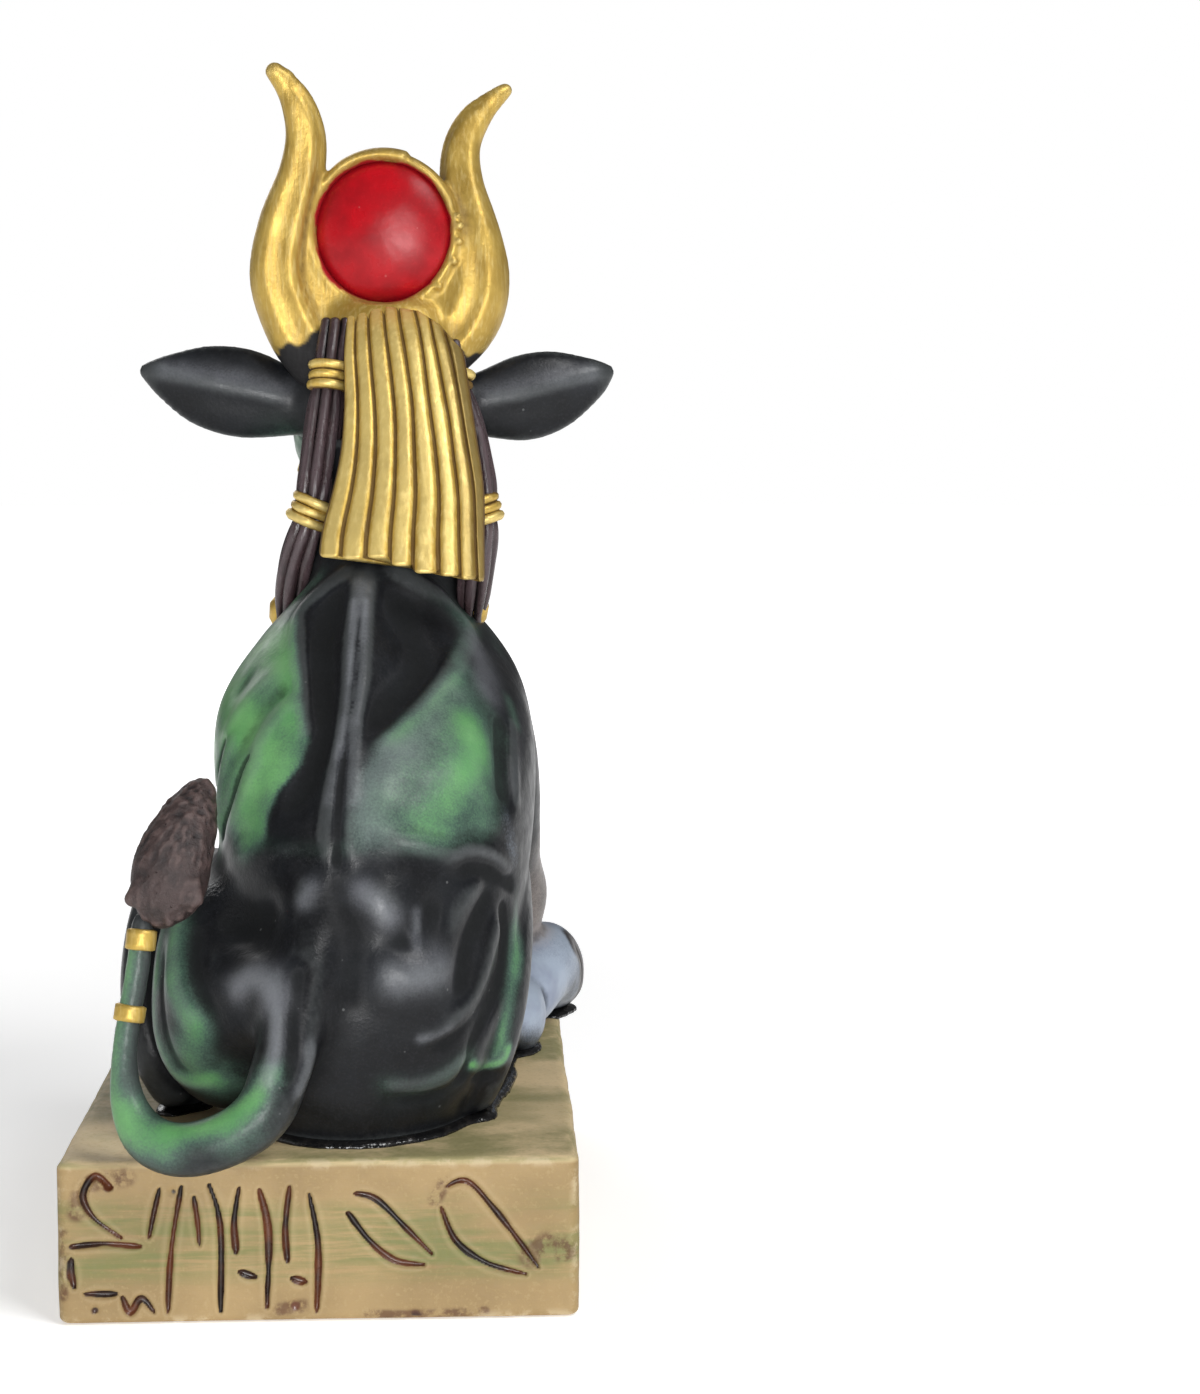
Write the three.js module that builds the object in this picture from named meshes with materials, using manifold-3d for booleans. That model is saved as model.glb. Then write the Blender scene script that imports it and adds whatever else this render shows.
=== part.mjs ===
// Seated cow figurine with a horned sun-disc crown, a pleated headcloth and a braided wig, on a
// low carved plinth. Millimetres, +Z up, origin at the middle of the plinth's underside.
// The figure is described in its own frame: x to the cow's right, y forward, z up from the
// plinth's top. It is turned to face -Y when it is set down on the plinth.
import * as THREE from "three";
import { mergeVertices } from "three/addons/utils/BufferGeometryUtils.js";
import Module from "manifold-3d";

const wasm = await Module();
wasm.setup();

const PLINTH_WIDTH = 67.4;
const PLINTH_DEPTH = 96;
const PLINTH_HEIGHT = 21.5;
const PLINTH_CORNER = 1.8;
const PLINTH_BEVEL = 0.8;
const SEAT_GAP = 0.3; // thickness of the bonding bead between the figure and the plinth
const STROKE_RADIUS = 0.55;

const FIGURE_TURN = 6; // degrees that the figure faces towards its own right
const FIGURE_SIDE_SHIFT = 2;
const HEAD_TURN = 15; // degrees that the muzzle points towards the cow's own left
const NECK_AXIS = [1, 50];

const DISC_RADIUS = 10;
const DISC_DOME = 3.6;
const DISC_CENTRE = [0.6, 50.5, 121.2];
const RIM_RADIUS = 10.35;
const RIM_TUBE = 0.95;
const RIM_DEPTH = 2.3; // the rim's thickness from back to front, as a share of its width

const PLEATS = 8;
const PLEAT_DEPTH = 0.45;
const CLOTH_BACKING = 9; // how far the headcloth's solid reaches into the neck
const CLOTH_BULGE = 2.4;

const BRAID_BAND_LIFT = 0.45;
const TAIL_BAND_LIFT = 0.4;

const CLOTH_SLANT = 1.4; // how much lower the headcloth hangs on the cow's right

const LEFT_THIGH_OUT = 7.4; // how much further the thigh stands out on the cow's left
const LEFT_LEG_OUT = 10; // and the shank and foot under it
const END_ROUNDING = 0.6; // a limb's blunt end, as a share of its last radius
const BODY_SIDES = 20;
const HEAD_SIDES = 13;
const THIGH_SIDES = 12;
const LIMB_SIDES = 10;
const SMALL_SIDES = 8;
const STROKE_SIDES = 4;
const DISC_SIDES = 20;

function asSolid(geometry) {
  const plain = geometry.clone();
  plain.deleteAttribute("normal");
  plain.deleteAttribute("uv");
  const merged = mergeVertices(plain, 1e-4);
  return new wasm.Manifold(
    new wasm.Mesh({
      numProp: 3,
      vertProperties: new Float32Array(merged.attributes.position.array),
      triVerts: new Uint32Array(merged.index.array),
    }),
  );
}

function asGeometry(solid) {
  const mesh = solid.getMesh();
  const positions = new Float32Array(mesh.numVert * 3);
  for (let i = 0; i < mesh.numVert; i += 1) {
    const start = i * mesh.numProp;
    positions.set(mesh.vertProperties.subarray(start, start + 3), i * 3);
  }
  const geometry = new THREE.BufferGeometry();
  geometry.setAttribute("position", new THREE.BufferAttribute(positions, 3));
  geometry.setIndex(new THREE.BufferAttribute(mesh.triVerts, 1));
  geometry.computeVertexNormals();
  return geometry;
}

function joined(solids) {
  return solids.reduce((whole, next) => whole.add(next));
}

// The outer shell alone, so that pockets closed in between joined forms are filled.
function filled(solid) {
  const shells = solid.decompose();
  return shells.reduce((best, next) => (next.volume() > best.volume() ? next : best));
}

// A closed skin over rings of equally many points, with a flat fan over each end.
function skin(rings) {
  const sides = rings[0].length;
  const points = rings.flat();
  const index = [];
  for (let k = 0; k < rings.length - 1; k += 1) {
    for (let i = 0; i < sides; i += 1) {
      const a = k * sides + i;
      const b = k * sides + ((i + 1) % sides);
      index.push(a, b, a + sides);
      index.push(b, b + sides, a + sides);
    }
  }
  const middle = (ring) =>
    ring.reduce((sum, p) => sum.add(p), new THREE.Vector3()).divideScalar(sides);
  const first = points.push(middle(rings[0])) - 1;
  const last = points.push(middle(rings[rings.length - 1])) - 1;
  const top = (rings.length - 1) * sides;
  for (let i = 0; i < sides; i += 1) {
    const next = (i + 1) % sides;
    index.push(first, next, i);
    index.push(last, top + i, top + next);
  }
  const geometry = new THREE.BufferGeometry().setFromPoints(points);
  geometry.setIndex(index);
  const solid = asSolid(geometry);
  if (solid.volume() > 0) return solid;
  geometry.setIndex(index.reverse());
  return asSolid(geometry);
}

// Rows of values spaced evenly along a smooth curve through the given stations.
function smoothed(stations, count) {
  const rows = [];
  const final = stations.length - 1;
  for (let k = 0; k <= count; k += 1) {
    const place = (k / count) * final;
    const i = Math.min(Math.floor(place), final - 1);
    const t = place - i;
    const before = stations[Math.max(i - 1, 0)];
    const after = stations[Math.min(i + 2, final)];
    const row = stations[i].map((from, c) => {
      const to = stations[i + 1][c];
      const slope = (to - before[c]) * t;
      const bend = (2 * before[c] - 5 * from + 4 * to - after[c]) * t * t;
      const twist = (3 * from - before[c] - 3 * to + after[c]) * t * t * t;
      return (2 * from + slope + bend + twist) / 2;
    });
    rows.push(row);
  }
  return rows;
}

// A limb with blunt round ends. Each station is x, y, z, radius along `across`, other radius.
function limb(stations, count, sides = LIMB_SIDES, across = [1, 0, 0]) {
  const rows = smoothed(stations, count);
  const centres = rows.map((row) => new THREE.Vector3(row[0], row[1], row[2]));
  const towards = new THREE.Vector3(...across);
  const rings = [];
  const addRing = (centre, along, near, other) => {
    const u = towards.clone().addScaledVector(along, -towards.dot(along)).normalize();
    const v = along.clone().cross(u);
    const ring = [];
    for (let i = 0; i < sides; i += 1) {
      const angle = (2 * Math.PI * i) / sides;
      const point = centre.clone().addScaledVector(u, near * Math.cos(angle));
      ring.push(point.addScaledVector(v, other * Math.sin(angle)));
    }
    rings.push(ring);
  };
  rows.forEach((row, k) => {
    const ahead = centres[Math.min(k + 1, count)];
    const along = ahead.clone().sub(centres[Math.max(k - 1, 0)]).normalize();
    const cap = END_ROUNDING * Math.min(row[3], row[4]);
    const addEnd = (sign) => {
      const tip = centres[k].clone().addScaledVector(along, sign * cap);
      addRing(tip, along, row[3] * END_ROUNDING, row[4] * END_ROUNDING);
    };
    if (k === 0) addEnd(-1);
    addRing(centres[k], along, row[3], row[4]);
    if (k === count) addEnd(1);
  });
  return skin(rings);
}

function ellipsoid(centre, radii, across) {
  const geometry = new THREE.SphereGeometry(1, across, Math.round(across * 0.6));
  geometry.scale(...radii);
  geometry.translate(...centre);
  return asSolid(geometry);
}

// The same stations on the cow's other side.
function mirrored(stations) {
  return stations.map(([x, ...rest]) => [-x, ...rest]);
}

// One limb on each side, with the one on the cow's left set further out.
function bothSides(stations, count, sides, leftOut = 0) {
  const left = mirrored(stations).map(([x, ...rest]) => [x - leftOut, ...rest]);
  return limb(stations, count, sides).add(limb(left, count, sides));
}

// The trunk and neck as level sections: height, rear edge, front edge, middle, half width.
function trunk() {
  const sections = smoothed(
    [
      [-2, 8, 48, 0, 15.5],
      [5, 4, 53, 0, 17.6],
      [13, 1.6, 56, 0.2, 19.4],
      [22, 1.2, 57, 0.6, 20.6],
      [31, 2.6, 58, 1.4, 21],
      [40, 5.2, 61, 1.4, 21.8],
      [48, 9.4, 66, 0.6, 22.4],
      [54, 14, 69, -0.2, 21.8],
      [59, 18.5, 70.5, -0.6, 19.6],
      [64, 22.8, 71.6, -1, 15.8],
      [69, 27.5, 72, -0.9, 12.4],
      [75, 32.5, 71, 0.6, 11.6],
      [83, 36.5, 68, 0.8, 10.5],
      [92, 39, 65, 0.4, 10],
      [101, 42, 60, 0, 9],
    ],
    17,
  );
  const rings = sections.map(([height, rear, front, middle, half]) => {
    const ring = [];
    for (let i = 0; i < BODY_SIDES; i += 1) {
      const angle = (2 * Math.PI * i) / BODY_SIDES;
      const x = middle + half * Math.cos(angle);
      const y = (rear + front) / 2 + ((front - rear) / 2) * Math.sin(angle);
      ring.push(new THREE.Vector3(x, y, height));
    }
    return ring;
  });
  return skin(rings);
}

// Hip, thigh, shank and long foot. The left leg stands out further than the right.
function hindLegs() {
  const thigh = [
    [8.8, 14, 15, 9.8, 13],
    [10.8, 22, 18.4, 9.6, 15],
    [12.8, 33, 22, 8, 12.5],
    [15.6, 42, 25.6, 5.6, 8.5],
    [17.4, 46.5, 27, 4, 6],
  ];
  const shank = [
    [18.6, 38, 30, 3.8, 4.6],
    [20, 30, 24.6, 3.4, 4.6],
    [20, 24, 17, 3.2, 4.4],
    [18.6, 21.4, 9.6, 3, 4],
    [16, 22.4, 4, 3.2, 3.8],
  ];
  const foot = [
    [14.6, 25.6, 3.8, 3.6, 4.2],
    [15.6, 42, 4, 3.8, 4],
    [16, 58, 4.8, 4.2, 4.6],
    [18.8, 69, 7.4, 5.2, 6],
    [20.6, 77, 9.6, 5.8, 6.6],
    [21.4, 83.4, 7.8, 5.8, 6.6],
    [21.8, 88, 4.6, 5, 4.4],
  ];
  return joined([
    bothSides(thigh, 6, THIGH_SIDES, LEFT_THIGH_OUT),
    bothSides(shank, 5, SMALL_SIDES, LEFT_LEG_OUT),
    bothSides(foot, 8, LIMB_SIDES, LEFT_LEG_OUT),
    ellipsoid([-9, 7.5, 19], [6.5, 7, 6.5], 12),
    ellipsoid([19, 61, 5.4], [3.8, 6.4, 5.8], 10),
  ]);
}

function foreLegs() {
  const shoulder = [
    [4, 51, 65, 7.6, 8],
    [10, 52, 57, 8.6, 11],
    [13.8, 55, 48, 7.8, 9.6],
    [16, 58.6, 38.5, 6.2, 7.6],
    [16.4, 63, 31.5, 5, 6],
  ];
  const leg = [
    [16.4, 62, 33, 5, 6],
    [16.9, 67, 27, 4.8, 5.2],
    [17.2, 71.4, 21.6, 5, 5.2],
    [16.2, 74.6, 14, 3.9, 4.2],
    [15, 77, 7, 4.2, 4.4],
    [14.6, 79, 2.4, 5.2, 6],
  ];
  return joined([bothSides(shoulder, 6, THIGH_SIDES), bothSides(leg, 7)]);
}

// Turns a piece of the head about the upright line through the neck.
function turnedWithHead(solid) {
  const pivot = [NECK_AXIS[0], NECK_AXIS[1], 0];
  const home = pivot.map((value) => -value);
  return solid.translate(home).rotate([0, 0, HEAD_TURN]).translate(pivot);
}

function headForm() {
  const skull = limb(
    [
      [1, 53, 100.4, 11, 10],
      [1, 57.5, 98.8, 12.4, 11.4],
      [1, 62, 95.6, 12.4, 12],
      [1, 69.5, 91.4, 10.4, 10.2],
      [1, 76.5, 88, 8.8, 8.6],
      [1, 83, 85.4, 8.8, 7.9],
      [1, 86.6, 84.2, 7.6, 6.4],
    ],
    9,
    HEAD_SIDES,
  );
  return turnedWithHead(skull);
}

function ears() {
  const upward = [0, 0, 1];
  const left = [
    [-9, 53, 97, 3.5, 3.2],
    [-14, 52.4, 97.4, 5, 2.8],
    [-20, 51.6, 98.6, 6.4, 2.6],
    [-26, 51, 99.8, 5.8, 2.4],
    [-31, 51, 101, 3.4, 1.9],
    [-34.2, 51.2, 101.8, 1.1, 1],
  ];
  const right = [
    [11, 55, 97, 3.5, 3.2],
    [15, 56, 97.2, 5, 2.8],
    [20, 57, 98, 6.2, 2.6],
    [25, 58.4, 99.4, 5.6, 2.4],
    [29.6, 59.8, 100.8, 3.2, 1.9],
    [32, 60.6, 101.8, 1.1, 1],
  ];
  return limb(left, 7, SMALL_SIDES, upward).add(limb(right, 7, SMALL_SIDES, upward));
}

function horns() {
  const left = [
    [-9, 51, 103.6, 4.6, 4.6],
    [-11.8, 50.6, 108, 4.8, 5],
    [-14.2, 50.2, 115, 4.5, 4.8],
    [-13.4, 50, 122, 4.1, 4.4],
    [-11, 49.6, 129.6, 3.3, 3.8],
    [-10.3, 49, 135.4, 2.8, 3.2],
    [-11.6, 48.4, 140.2, 2.2, 2.6],
    [-14.3, 48, 143.8, 1.4, 1.6],
  ];
  const right = [
    [6.8, 52.6, 103.4, 4.5, 4.6],
    [12.2, 52.8, 108.7, 4.5, 5],
    [14.2, 53, 115, 4.2, 4.8],
    [13, 53.4, 122, 3.8, 4.4],
    [11.4, 54, 128.6, 3.2, 3.8],
    [11.4, 54.6, 134, 2.7, 3.2],
    [13.6, 55.2, 138.4, 2.2, 2.5],
    [17.6, 56.2, 142, 1, 1.1],
  ];
  return limb(left, 10).add(limb(right, 10));
}

// Domed disc in a raised round rim, on a low mound over the crown of the head, with a plate and
// two webs that fill the corners between the rim and the horns.
function sunDisc() {
  const profile = [];
  const steps = 6;
  for (let i = 0; i <= steps; i += 1) {
    const angle = (Math.PI * i) / steps;
    profile.push(
      new THREE.Vector2(DISC_RADIUS * Math.sin(angle), -DISC_DOME * Math.cos(angle)),
    );
  }
  profile[0].x = 0;
  profile[steps].x = 0;
  const dome = new THREE.LatheGeometry(profile, DISC_SIDES);
  dome.translate(...DISC_CENTRE);
  const rim = new THREE.TorusGeometry(RIM_RADIUS, RIM_TUBE, 6, DISC_SIDES);
  rim.rotateX(Math.PI / 2);
  rim.scale(1, RIM_DEPTH, 1);
  rim.translate(...DISC_CENTRE);
  const mound = ellipsoid([1, 50.5, 107.5], [9, 6, 6], 12);
  const plate = ellipsoid([0.6, 52.6, 113], [13.6, 3, 9.6], 12);
  const webs = [[-7.6, 50.8, 113.4], [9.4, 52.2, 113.4]].map((centre) => {
    return ellipsoid(centre, [4.6, 2.7, 9.4], 10);
  });
  return joined([asSolid(dome), asSolid(rim), mound, plate, ...webs]);
}

// The pleated cloth down the back of the wig: height, middle x, rear y, half width.
function headcloth() {
  const rows = smoothed(
    [
      [110.4, 2.9, 45.2, 7.3],
      [106.8, 3.8, 41.6, 8],
      [103.6, 4.4, 39.4, 8.4],
      [97.4, 5.3, 36.3, 8.8],
      [91.2, 5.8, 33.7, 9.5],
      [85.1, 5.8, 31.4, 10.4],
      [79, 5.3, 29.2, 11.2],
      [74.8, 5.2, 27.8, 11.5],
    ],
    6,
  );
  const columns = PLEATS * 3;
  const rings = rows.map(([height, middle, rear, half]) => {
    const ring = [];
    for (let i = 0; i <= columns; i += 1) {
      const across = (2 * i) / columns - 1;
      const groove = i % 3 === 0 ? PLEAT_DEPTH : 0;
      const y = rear + CLOTH_BULGE * across * across + groove;
      ring.push(new THREE.Vector3(middle + half * across, y, height - CLOTH_SLANT * across));
    }
    const inner = rear + CLOTH_BACKING;
    ring.push(new THREE.Vector3(middle + half, inner, height - CLOTH_SLANT));
    ring.push(new THREE.Vector3(middle - half, inner, height + CLOTH_SLANT));
    return ring;
  });
  return skin(rings);
}

// Bundles of braids beside the headcloth and in front of the shoulders, with gold bands.
function braids() {
  const left = [
    [-4.6, 47.6, 110.4, 2.4, 2.4],
    [-6.2, 44.4, 103, 2.6, 2.6],
    [-7.6, 42.4, 91, 2.8, 2.8],
    [-8.6, 40.8, 82, 2.8, 2.8],
    [-11, 42, 74, 2.9, 2.9],
    [-12.8, 45, 66, 2.4, 2.4],
  ];
  const right = [
    [9.2, 49, 108, 2.3, 2.3],
    [10.6, 47.6, 101, 2.5, 2.5],
    [13.5, 46.6, 91, 2.6, 2.6],
    [14.7, 46, 82, 2.7, 2.7],
    [13.9, 47.2, 74, 2.8, 2.8],
    [12.8, 50, 66, 2.2, 2.2],
  ];
  const lappet = [
    [9.4, 57, 91, 3, 3],
    [10.4, 61, 83, 3, 3],
    [10.8, 65.4, 75, 2.9, 2.9],
    [10, 69.6, 66, 2.6, 2.6],
  ];
  const band = (stations, from, to) => {
    const rows = smoothed(stations, 20).slice(from, to + 1);
    const lifted = rows.map(([x, y, z, a, b]) => {
      return [x, y, z, a + BRAID_BAND_LIFT, b + BRAID_BAND_LIFT];
    });
    return limb(lifted, 1, SMALL_SIDES);
  };
  return joined([
    limb(left, 7, SMALL_SIDES),
    limb(right, 7, SMALL_SIDES),
    bothSides(lappet, 3, SMALL_SIDES),
    band(left, 4, 5),
    band(left, 12, 13),
    band(right, 3, 4),
    band(right, 12, 13),
  ]);
}

// Broad collar over the front of the chest.
function collar() {
  return ellipsoid([0, 60, 68.5], [14, 14, 8], 12);
}

function tail() {
  const stations = [
    [-2.6, 8, 31, 3.8, 4],
    [-3.4, 3.6, 25, 4.2, 4],
    [-4.8, 0.4, 19, 4.2, 4],
    [-6.2, -2.4, 13, 4, 3.9],
    [-8, -4.8, 7.8, 3.8, 3.8],
    [-12, -6, 4.6, 3.6, 3.6],
    [-18, -6.2, 2.8, 3.5, 3.5],
    [-22.8, -5.6, 4, 3.2, 3.2],
    [-25.6, -4.4, 8, 2.4, 2.4],
    [-26.4, -3.2, 13.5, 1.8, 1.8],
    [-25.9, -2, 19, 1.65, 1.7],
    [-25, -1, 24.6, 1.65, 1.7],
    [-24.4, 0.2, 31, 1.6, 1.6],
  ];
  const forward = [0, 1, 0];
  const rows = smoothed(stations, 36);
  const bandAt = (from, to) => {
    const lifted = [rows[from], rows[to]].map(([x, y, z, a, b]) => {
      return [x, y, z, a + TAIL_BAND_LIFT, b + TAIL_BAND_LIFT];
    });
    return limb(lifted, 1, SMALL_SIDES, forward);
  };
  const tuft = [
    [-22.4, 1, 32.6, 2.6, 3],
    [-21.4, 1.6, 35.2, 4, 4.8],
    [-20.8, 2.4, 38.6, 4.2, 4.9],
    [-19.4, 4.2, 43, 3.6, 3.9],
    [-17.8, 6, 47, 1.8, 1.9],
  ];
  return joined([
    limb(stations, 16, LIMB_SIDES, forward),
    bandAt(30, 31),
    bandAt(34, 35),
    limb(tuft, 5, SMALL_SIDES, forward),
  ]);
}

function plinthBlock() {
  const halfWidth = PLINTH_WIDTH / 2 - PLINTH_BEVEL;
  const halfDepth = PLINTH_DEPTH / 2 - PLINTH_BEVEL;
  const r = PLINTH_CORNER;
  const outline = new THREE.Shape();
  outline.moveTo(-halfWidth + r, -halfDepth);
  outline.lineTo(halfWidth - r, -halfDepth);
  outline.absarc(halfWidth - r, -halfDepth + r, r, -Math.PI / 2, 0);
  outline.lineTo(halfWidth, halfDepth - r);
  outline.absarc(halfWidth - r, halfDepth - r, r, 0, Math.PI / 2);
  outline.lineTo(-halfWidth + r, halfDepth);
  outline.absarc(-halfWidth + r, halfDepth - r, r, Math.PI / 2, Math.PI);
  outline.lineTo(-halfWidth, -halfDepth + r);
  outline.absarc(-halfWidth + r, -halfDepth + r, r, Math.PI, 1.5 * Math.PI);
  const block = new THREE.ExtrudeGeometry(outline, {
    depth: PLINTH_HEIGHT - 2 * PLINTH_BEVEL,
    bevelThickness: PLINTH_BEVEL,
    bevelSize: PLINTH_BEVEL,
    bevelSegments: 2,
    curveSegments: 3,
  });
  block.translate(0, 0, PLINTH_BEVEL);
  return asSolid(block);
}

// Shallow strokes in the face behind the cow. Each point is the distance from the face's corner
// on the cow's left, and the height.
function carvedStrokes() {
  const strokes = {
    crook: [[8.2, 11.6], [4.8, 14.2], [3.4, 17.2], [5, 19.8], [7, 18.2]],
    shelf: [[1.8, 10.5], [6, 10.8], [10.6, 10.4]],
    rise: [[11.8, 11.6], [12.4, 14.6], [13.2, 18]],
    fall: [[16, 18.2], [14.6, 10], [14, 1.6]],
    side: [[1.8, 8.8], [1.8, 7], [2.1, 5]],
    sill: [[3.4, 4.2], [5.4, 4.1], [7.4, 4.1]],
    zigzag: [[8.2, 3.6], [9.2, 1.6], [10.6, 3.4], [12.2, 1.6]],
    firstLong: [[19.6, 18.4], [20.9, 13], [20.8, 1.6]],
    firstShort: [[17.6, 16.8], [18, 13.6], [18.2, 10.4]],
    secondLong: [[26, 17.6], [27.1, 12], [26.8, 2]],
    secondShort: [[23.4, 18], [22.7, 13.4], [22.9, 9.4]],
    secondTick: [[23.4, 6.8], [24.4, 6.4], [25.4, 6.1]],
    thirdLong: [[32.4, 17], [33.5, 10], [33.2, 1.4]],
    thirdShort: [[29.9, 18], [29.3, 12.6], [29.5, 8.2]],
    thirdTick: [[30.1, 5.8], [31, 5.5], [31.8, 5.3]],
    smallUpper: [[38.4, 17], [41, 16.2], [44.4, 12.8], [48.2, 8.8]],
    smallLower: [[37.4, 14.4], [40, 10.8], [43.4, 8], [47.2, 7.4]],
    largeUpper: [[50.2, 17.8], [52.8, 18.4], [56.2, 14.8], [62, 6.8]],
    largeLower: [[49.4, 15], [51.4, 10.4], [55.4, 7.4], [60.4, 5.9]],
  };
  const face = PLINTH_DEPTH / 2;
  const tubes = Object.values(strokes).map((points) => {
    const stations = points.map(([along, height]) => {
      return [PLINTH_WIDTH / 2 - along, face, height, STROKE_RADIUS, STROKE_RADIUS];
    });
    return limb(stations, points.length, STROKE_SIDES, [0, 1, 0]);
  });
  return joined(tubes);
}

function plinth() {
  return plinthBlock().subtract(carvedStrokes());
}

// What the figure is cut away by: the plinth with the bonding bead round it, and everything
// level with the plinth beside and in front of it. Only the tail hangs over the rear edge.
function cutaway() {
  const height = PLINTH_HEIGHT + SEAT_GAP;
  const depth = PLINTH_DEPTH + 2 * SEAT_GAP;
  const room = new THREE.BoxGeometry(PLINTH_WIDTH + 2 * SEAT_GAP, depth, height);
  room.translate(0, 0, height / 2);
  const beside = new THREE.BoxGeometry(PLINTH_WIDTH * 2, depth, height);
  beside.translate(0, -PLINTH_CORNER, height / 2);
  return asSolid(room).add(asSolid(beside));
}

function cow() {
  const figure = joined([
    trunk(),
    hindLegs(),
    foreLegs(),
    headForm(),
    ears(),
    horns(),
    sunDisc(),
    headcloth(),
    braids(),
    collar(),
    tail(),
  ]);
  const placed = figure
    .rotate([0, 0, 180 - FIGURE_TURN])
    .translate([-FIGURE_SIDE_SHIFT, PLINTH_DEPTH / 2, PLINTH_HEIGHT]);
  return filled(placed.subtract(cutaway()));
}

function node(name, solid, colour, roughness) {
  const material = new THREE.MeshStandardMaterial({ color: colour, roughness });
  const mesh = new THREE.Mesh(asGeometry(solid), material);
  mesh.name = name;
  return mesh;
}

const figurine = new THREE.Group();
figurine.name = "hathor_cow_figurine";
figurine.add(node("cow", cow(), 0x24302a, 0.45));
figurine.add(node("plinth", plinth(), 0xc4a474, 0.7));

export default figurine;
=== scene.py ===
# Seated cow figurine in painted cast resin, seen from behind: horned sun-disc crown, pleated
# headcloth, braided wig, a tail that curls up to a tuft, and a low carved plinth.
#
# The figure is modelled in millimetres in its own frame: x to the cow's right, y forward, z up
# from the plinth's top. Forms are built up as clay: a block of distances to the surface, to
# which limbs are added and in which folds are pressed, and which is then skinned.
import math

import bpy
import numpy as np
import openvdb
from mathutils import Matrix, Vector


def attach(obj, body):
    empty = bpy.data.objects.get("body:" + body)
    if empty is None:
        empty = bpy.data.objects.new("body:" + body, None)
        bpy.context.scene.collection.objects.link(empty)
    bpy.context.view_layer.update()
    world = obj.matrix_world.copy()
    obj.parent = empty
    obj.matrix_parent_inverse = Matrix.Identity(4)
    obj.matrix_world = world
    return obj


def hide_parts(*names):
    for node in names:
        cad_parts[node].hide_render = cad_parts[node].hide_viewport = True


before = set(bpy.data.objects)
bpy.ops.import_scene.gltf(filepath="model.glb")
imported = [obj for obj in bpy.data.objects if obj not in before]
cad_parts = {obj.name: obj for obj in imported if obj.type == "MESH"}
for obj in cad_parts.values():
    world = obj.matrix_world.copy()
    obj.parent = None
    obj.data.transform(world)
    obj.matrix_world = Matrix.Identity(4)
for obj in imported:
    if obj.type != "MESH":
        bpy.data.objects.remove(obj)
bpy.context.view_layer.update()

MM = 0.001
PLINTH_WIDTH = 67.4
PLINTH_DEPTH = 96
PLINTH_HEIGHT = 21.5
SEAT_GAP = 0.3
FIGURE_TURN = 6
FIGURE_SIDE_SHIFT = 2
HEAD_TURN = 15
NECK_AXIS = (1, 50)

DISC_RADIUS = 10
DISC_HIGH = 1.03
DISC_DOME = 3.6
DISC_STEPS = 26
DISC_SIDES = 96
DISC_CENTRE = (0.6, 50.5, 121.5)
RIM_RADIUS = 10.35
RIM_TUBE = 0.85

BODY_CELL = 0.585
HEAD_CELL = 0.45
CROWN_CELL = 0.32
TUFT_CELL = 0.26
BEAD_CELL = 0.4

FAR = 8.0  # the distance in millimetres that an empty block of clay starts with
TINY = 1e-6
LATTICE = 32
SOFTENINGS = 2
TOUCH_SPACING = 0.6  # steps of a stroke and the reach of each touch, in widths of the stroke
TOUCH_REACH = 2.6
CREST_SCALE = 0.16
BODY_CREST_REACH = 1.3

FORWARD = (0, 1, 0)
UPWARD = (0, 0, 1)


# Frames and curves

def to_object(points):
    """Figure millimetres to the object's frame in metres."""
    turn = math.radians(180 - FIGURE_TURN)
    x, y, z = np.asarray(points, float).T
    across = x * math.cos(turn) - y * math.sin(turn) - FIGURE_SIDE_SHIFT
    along = past_rear_face(x, y) + PLINTH_DEPTH / 2
    return np.stack([across, along, z + PLINTH_HEIGHT], axis=1) * MM


def past_rear_face(x, y):
    """How far points stand out past the plinth's face behind the cow."""
    turn = math.radians(180 - FIGURE_TURN)
    return x * math.sin(turn) + y * math.cos(turn)


def smoothed(stations, count):
    """Rows of values spaced evenly along a smooth curve through the stations."""
    stations = np.array(stations, float)
    final = len(stations) - 1
    place = np.linspace(0, final, count + 1)
    i = np.minimum(place.astype(int), final - 1)
    t = (place - i)[:, None]
    before = stations[np.maximum(i - 1, 0)]
    start = stations[i]
    end = stations[i + 1]
    after = stations[np.minimum(i + 2, final)]
    bend = 2 * before - 5 * start + 4 * end - after
    twist = 3 * start - before - 3 * end + after
    return (2 * start + (end - before) * t + bend * t**2 + twist * t**3) / 2


def mirrored(stations):
    return [(-station[0], *station[1:]) for station in stations]


def with_head(stations):
    """Turns stations of the head about the upright line through the neck."""
    turn = math.radians(HEAD_TURN)
    rows = np.array(stations, float)
    x = rows[:, 0] - NECK_AXIS[0]
    y = rows[:, 1] - NECK_AXIS[1]
    rows[:, 0] = x * math.cos(turn) - y * math.sin(turn) + NECK_AXIS[0]
    rows[:, 1] = x * math.sin(turn) + y * math.cos(turn) + NECK_AXIS[1]
    return rows


def lumps(points, size, seed):
    """Smooth random values from -1 to 1 at points, in lumps of about the given size."""
    lattice = np.random.default_rng(seed).uniform(-1, 1, (LATTICE,) * 3)
    place = np.asarray(points, float) / size
    base = np.floor(place).astype(int)
    t = place - base
    t = t * t * (3 - 2 * t)
    total = np.zeros(place.shape[:-1])
    for corner in np.ndindex(2, 2, 2):
        index = (base + corner) % LATTICE
        weight = np.prod(np.where(corner, t, 1 - t), axis=-1)
        total += weight * lattice[index[..., 0], index[..., 1], index[..., 2]]
    return total


def eased(value, low, high):
    """0 below low, 1 above high, and a soft step between."""
    t = np.clip((value - low) / (high - low), 0, 1)
    return t * t * (3 - 2 * t)


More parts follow.
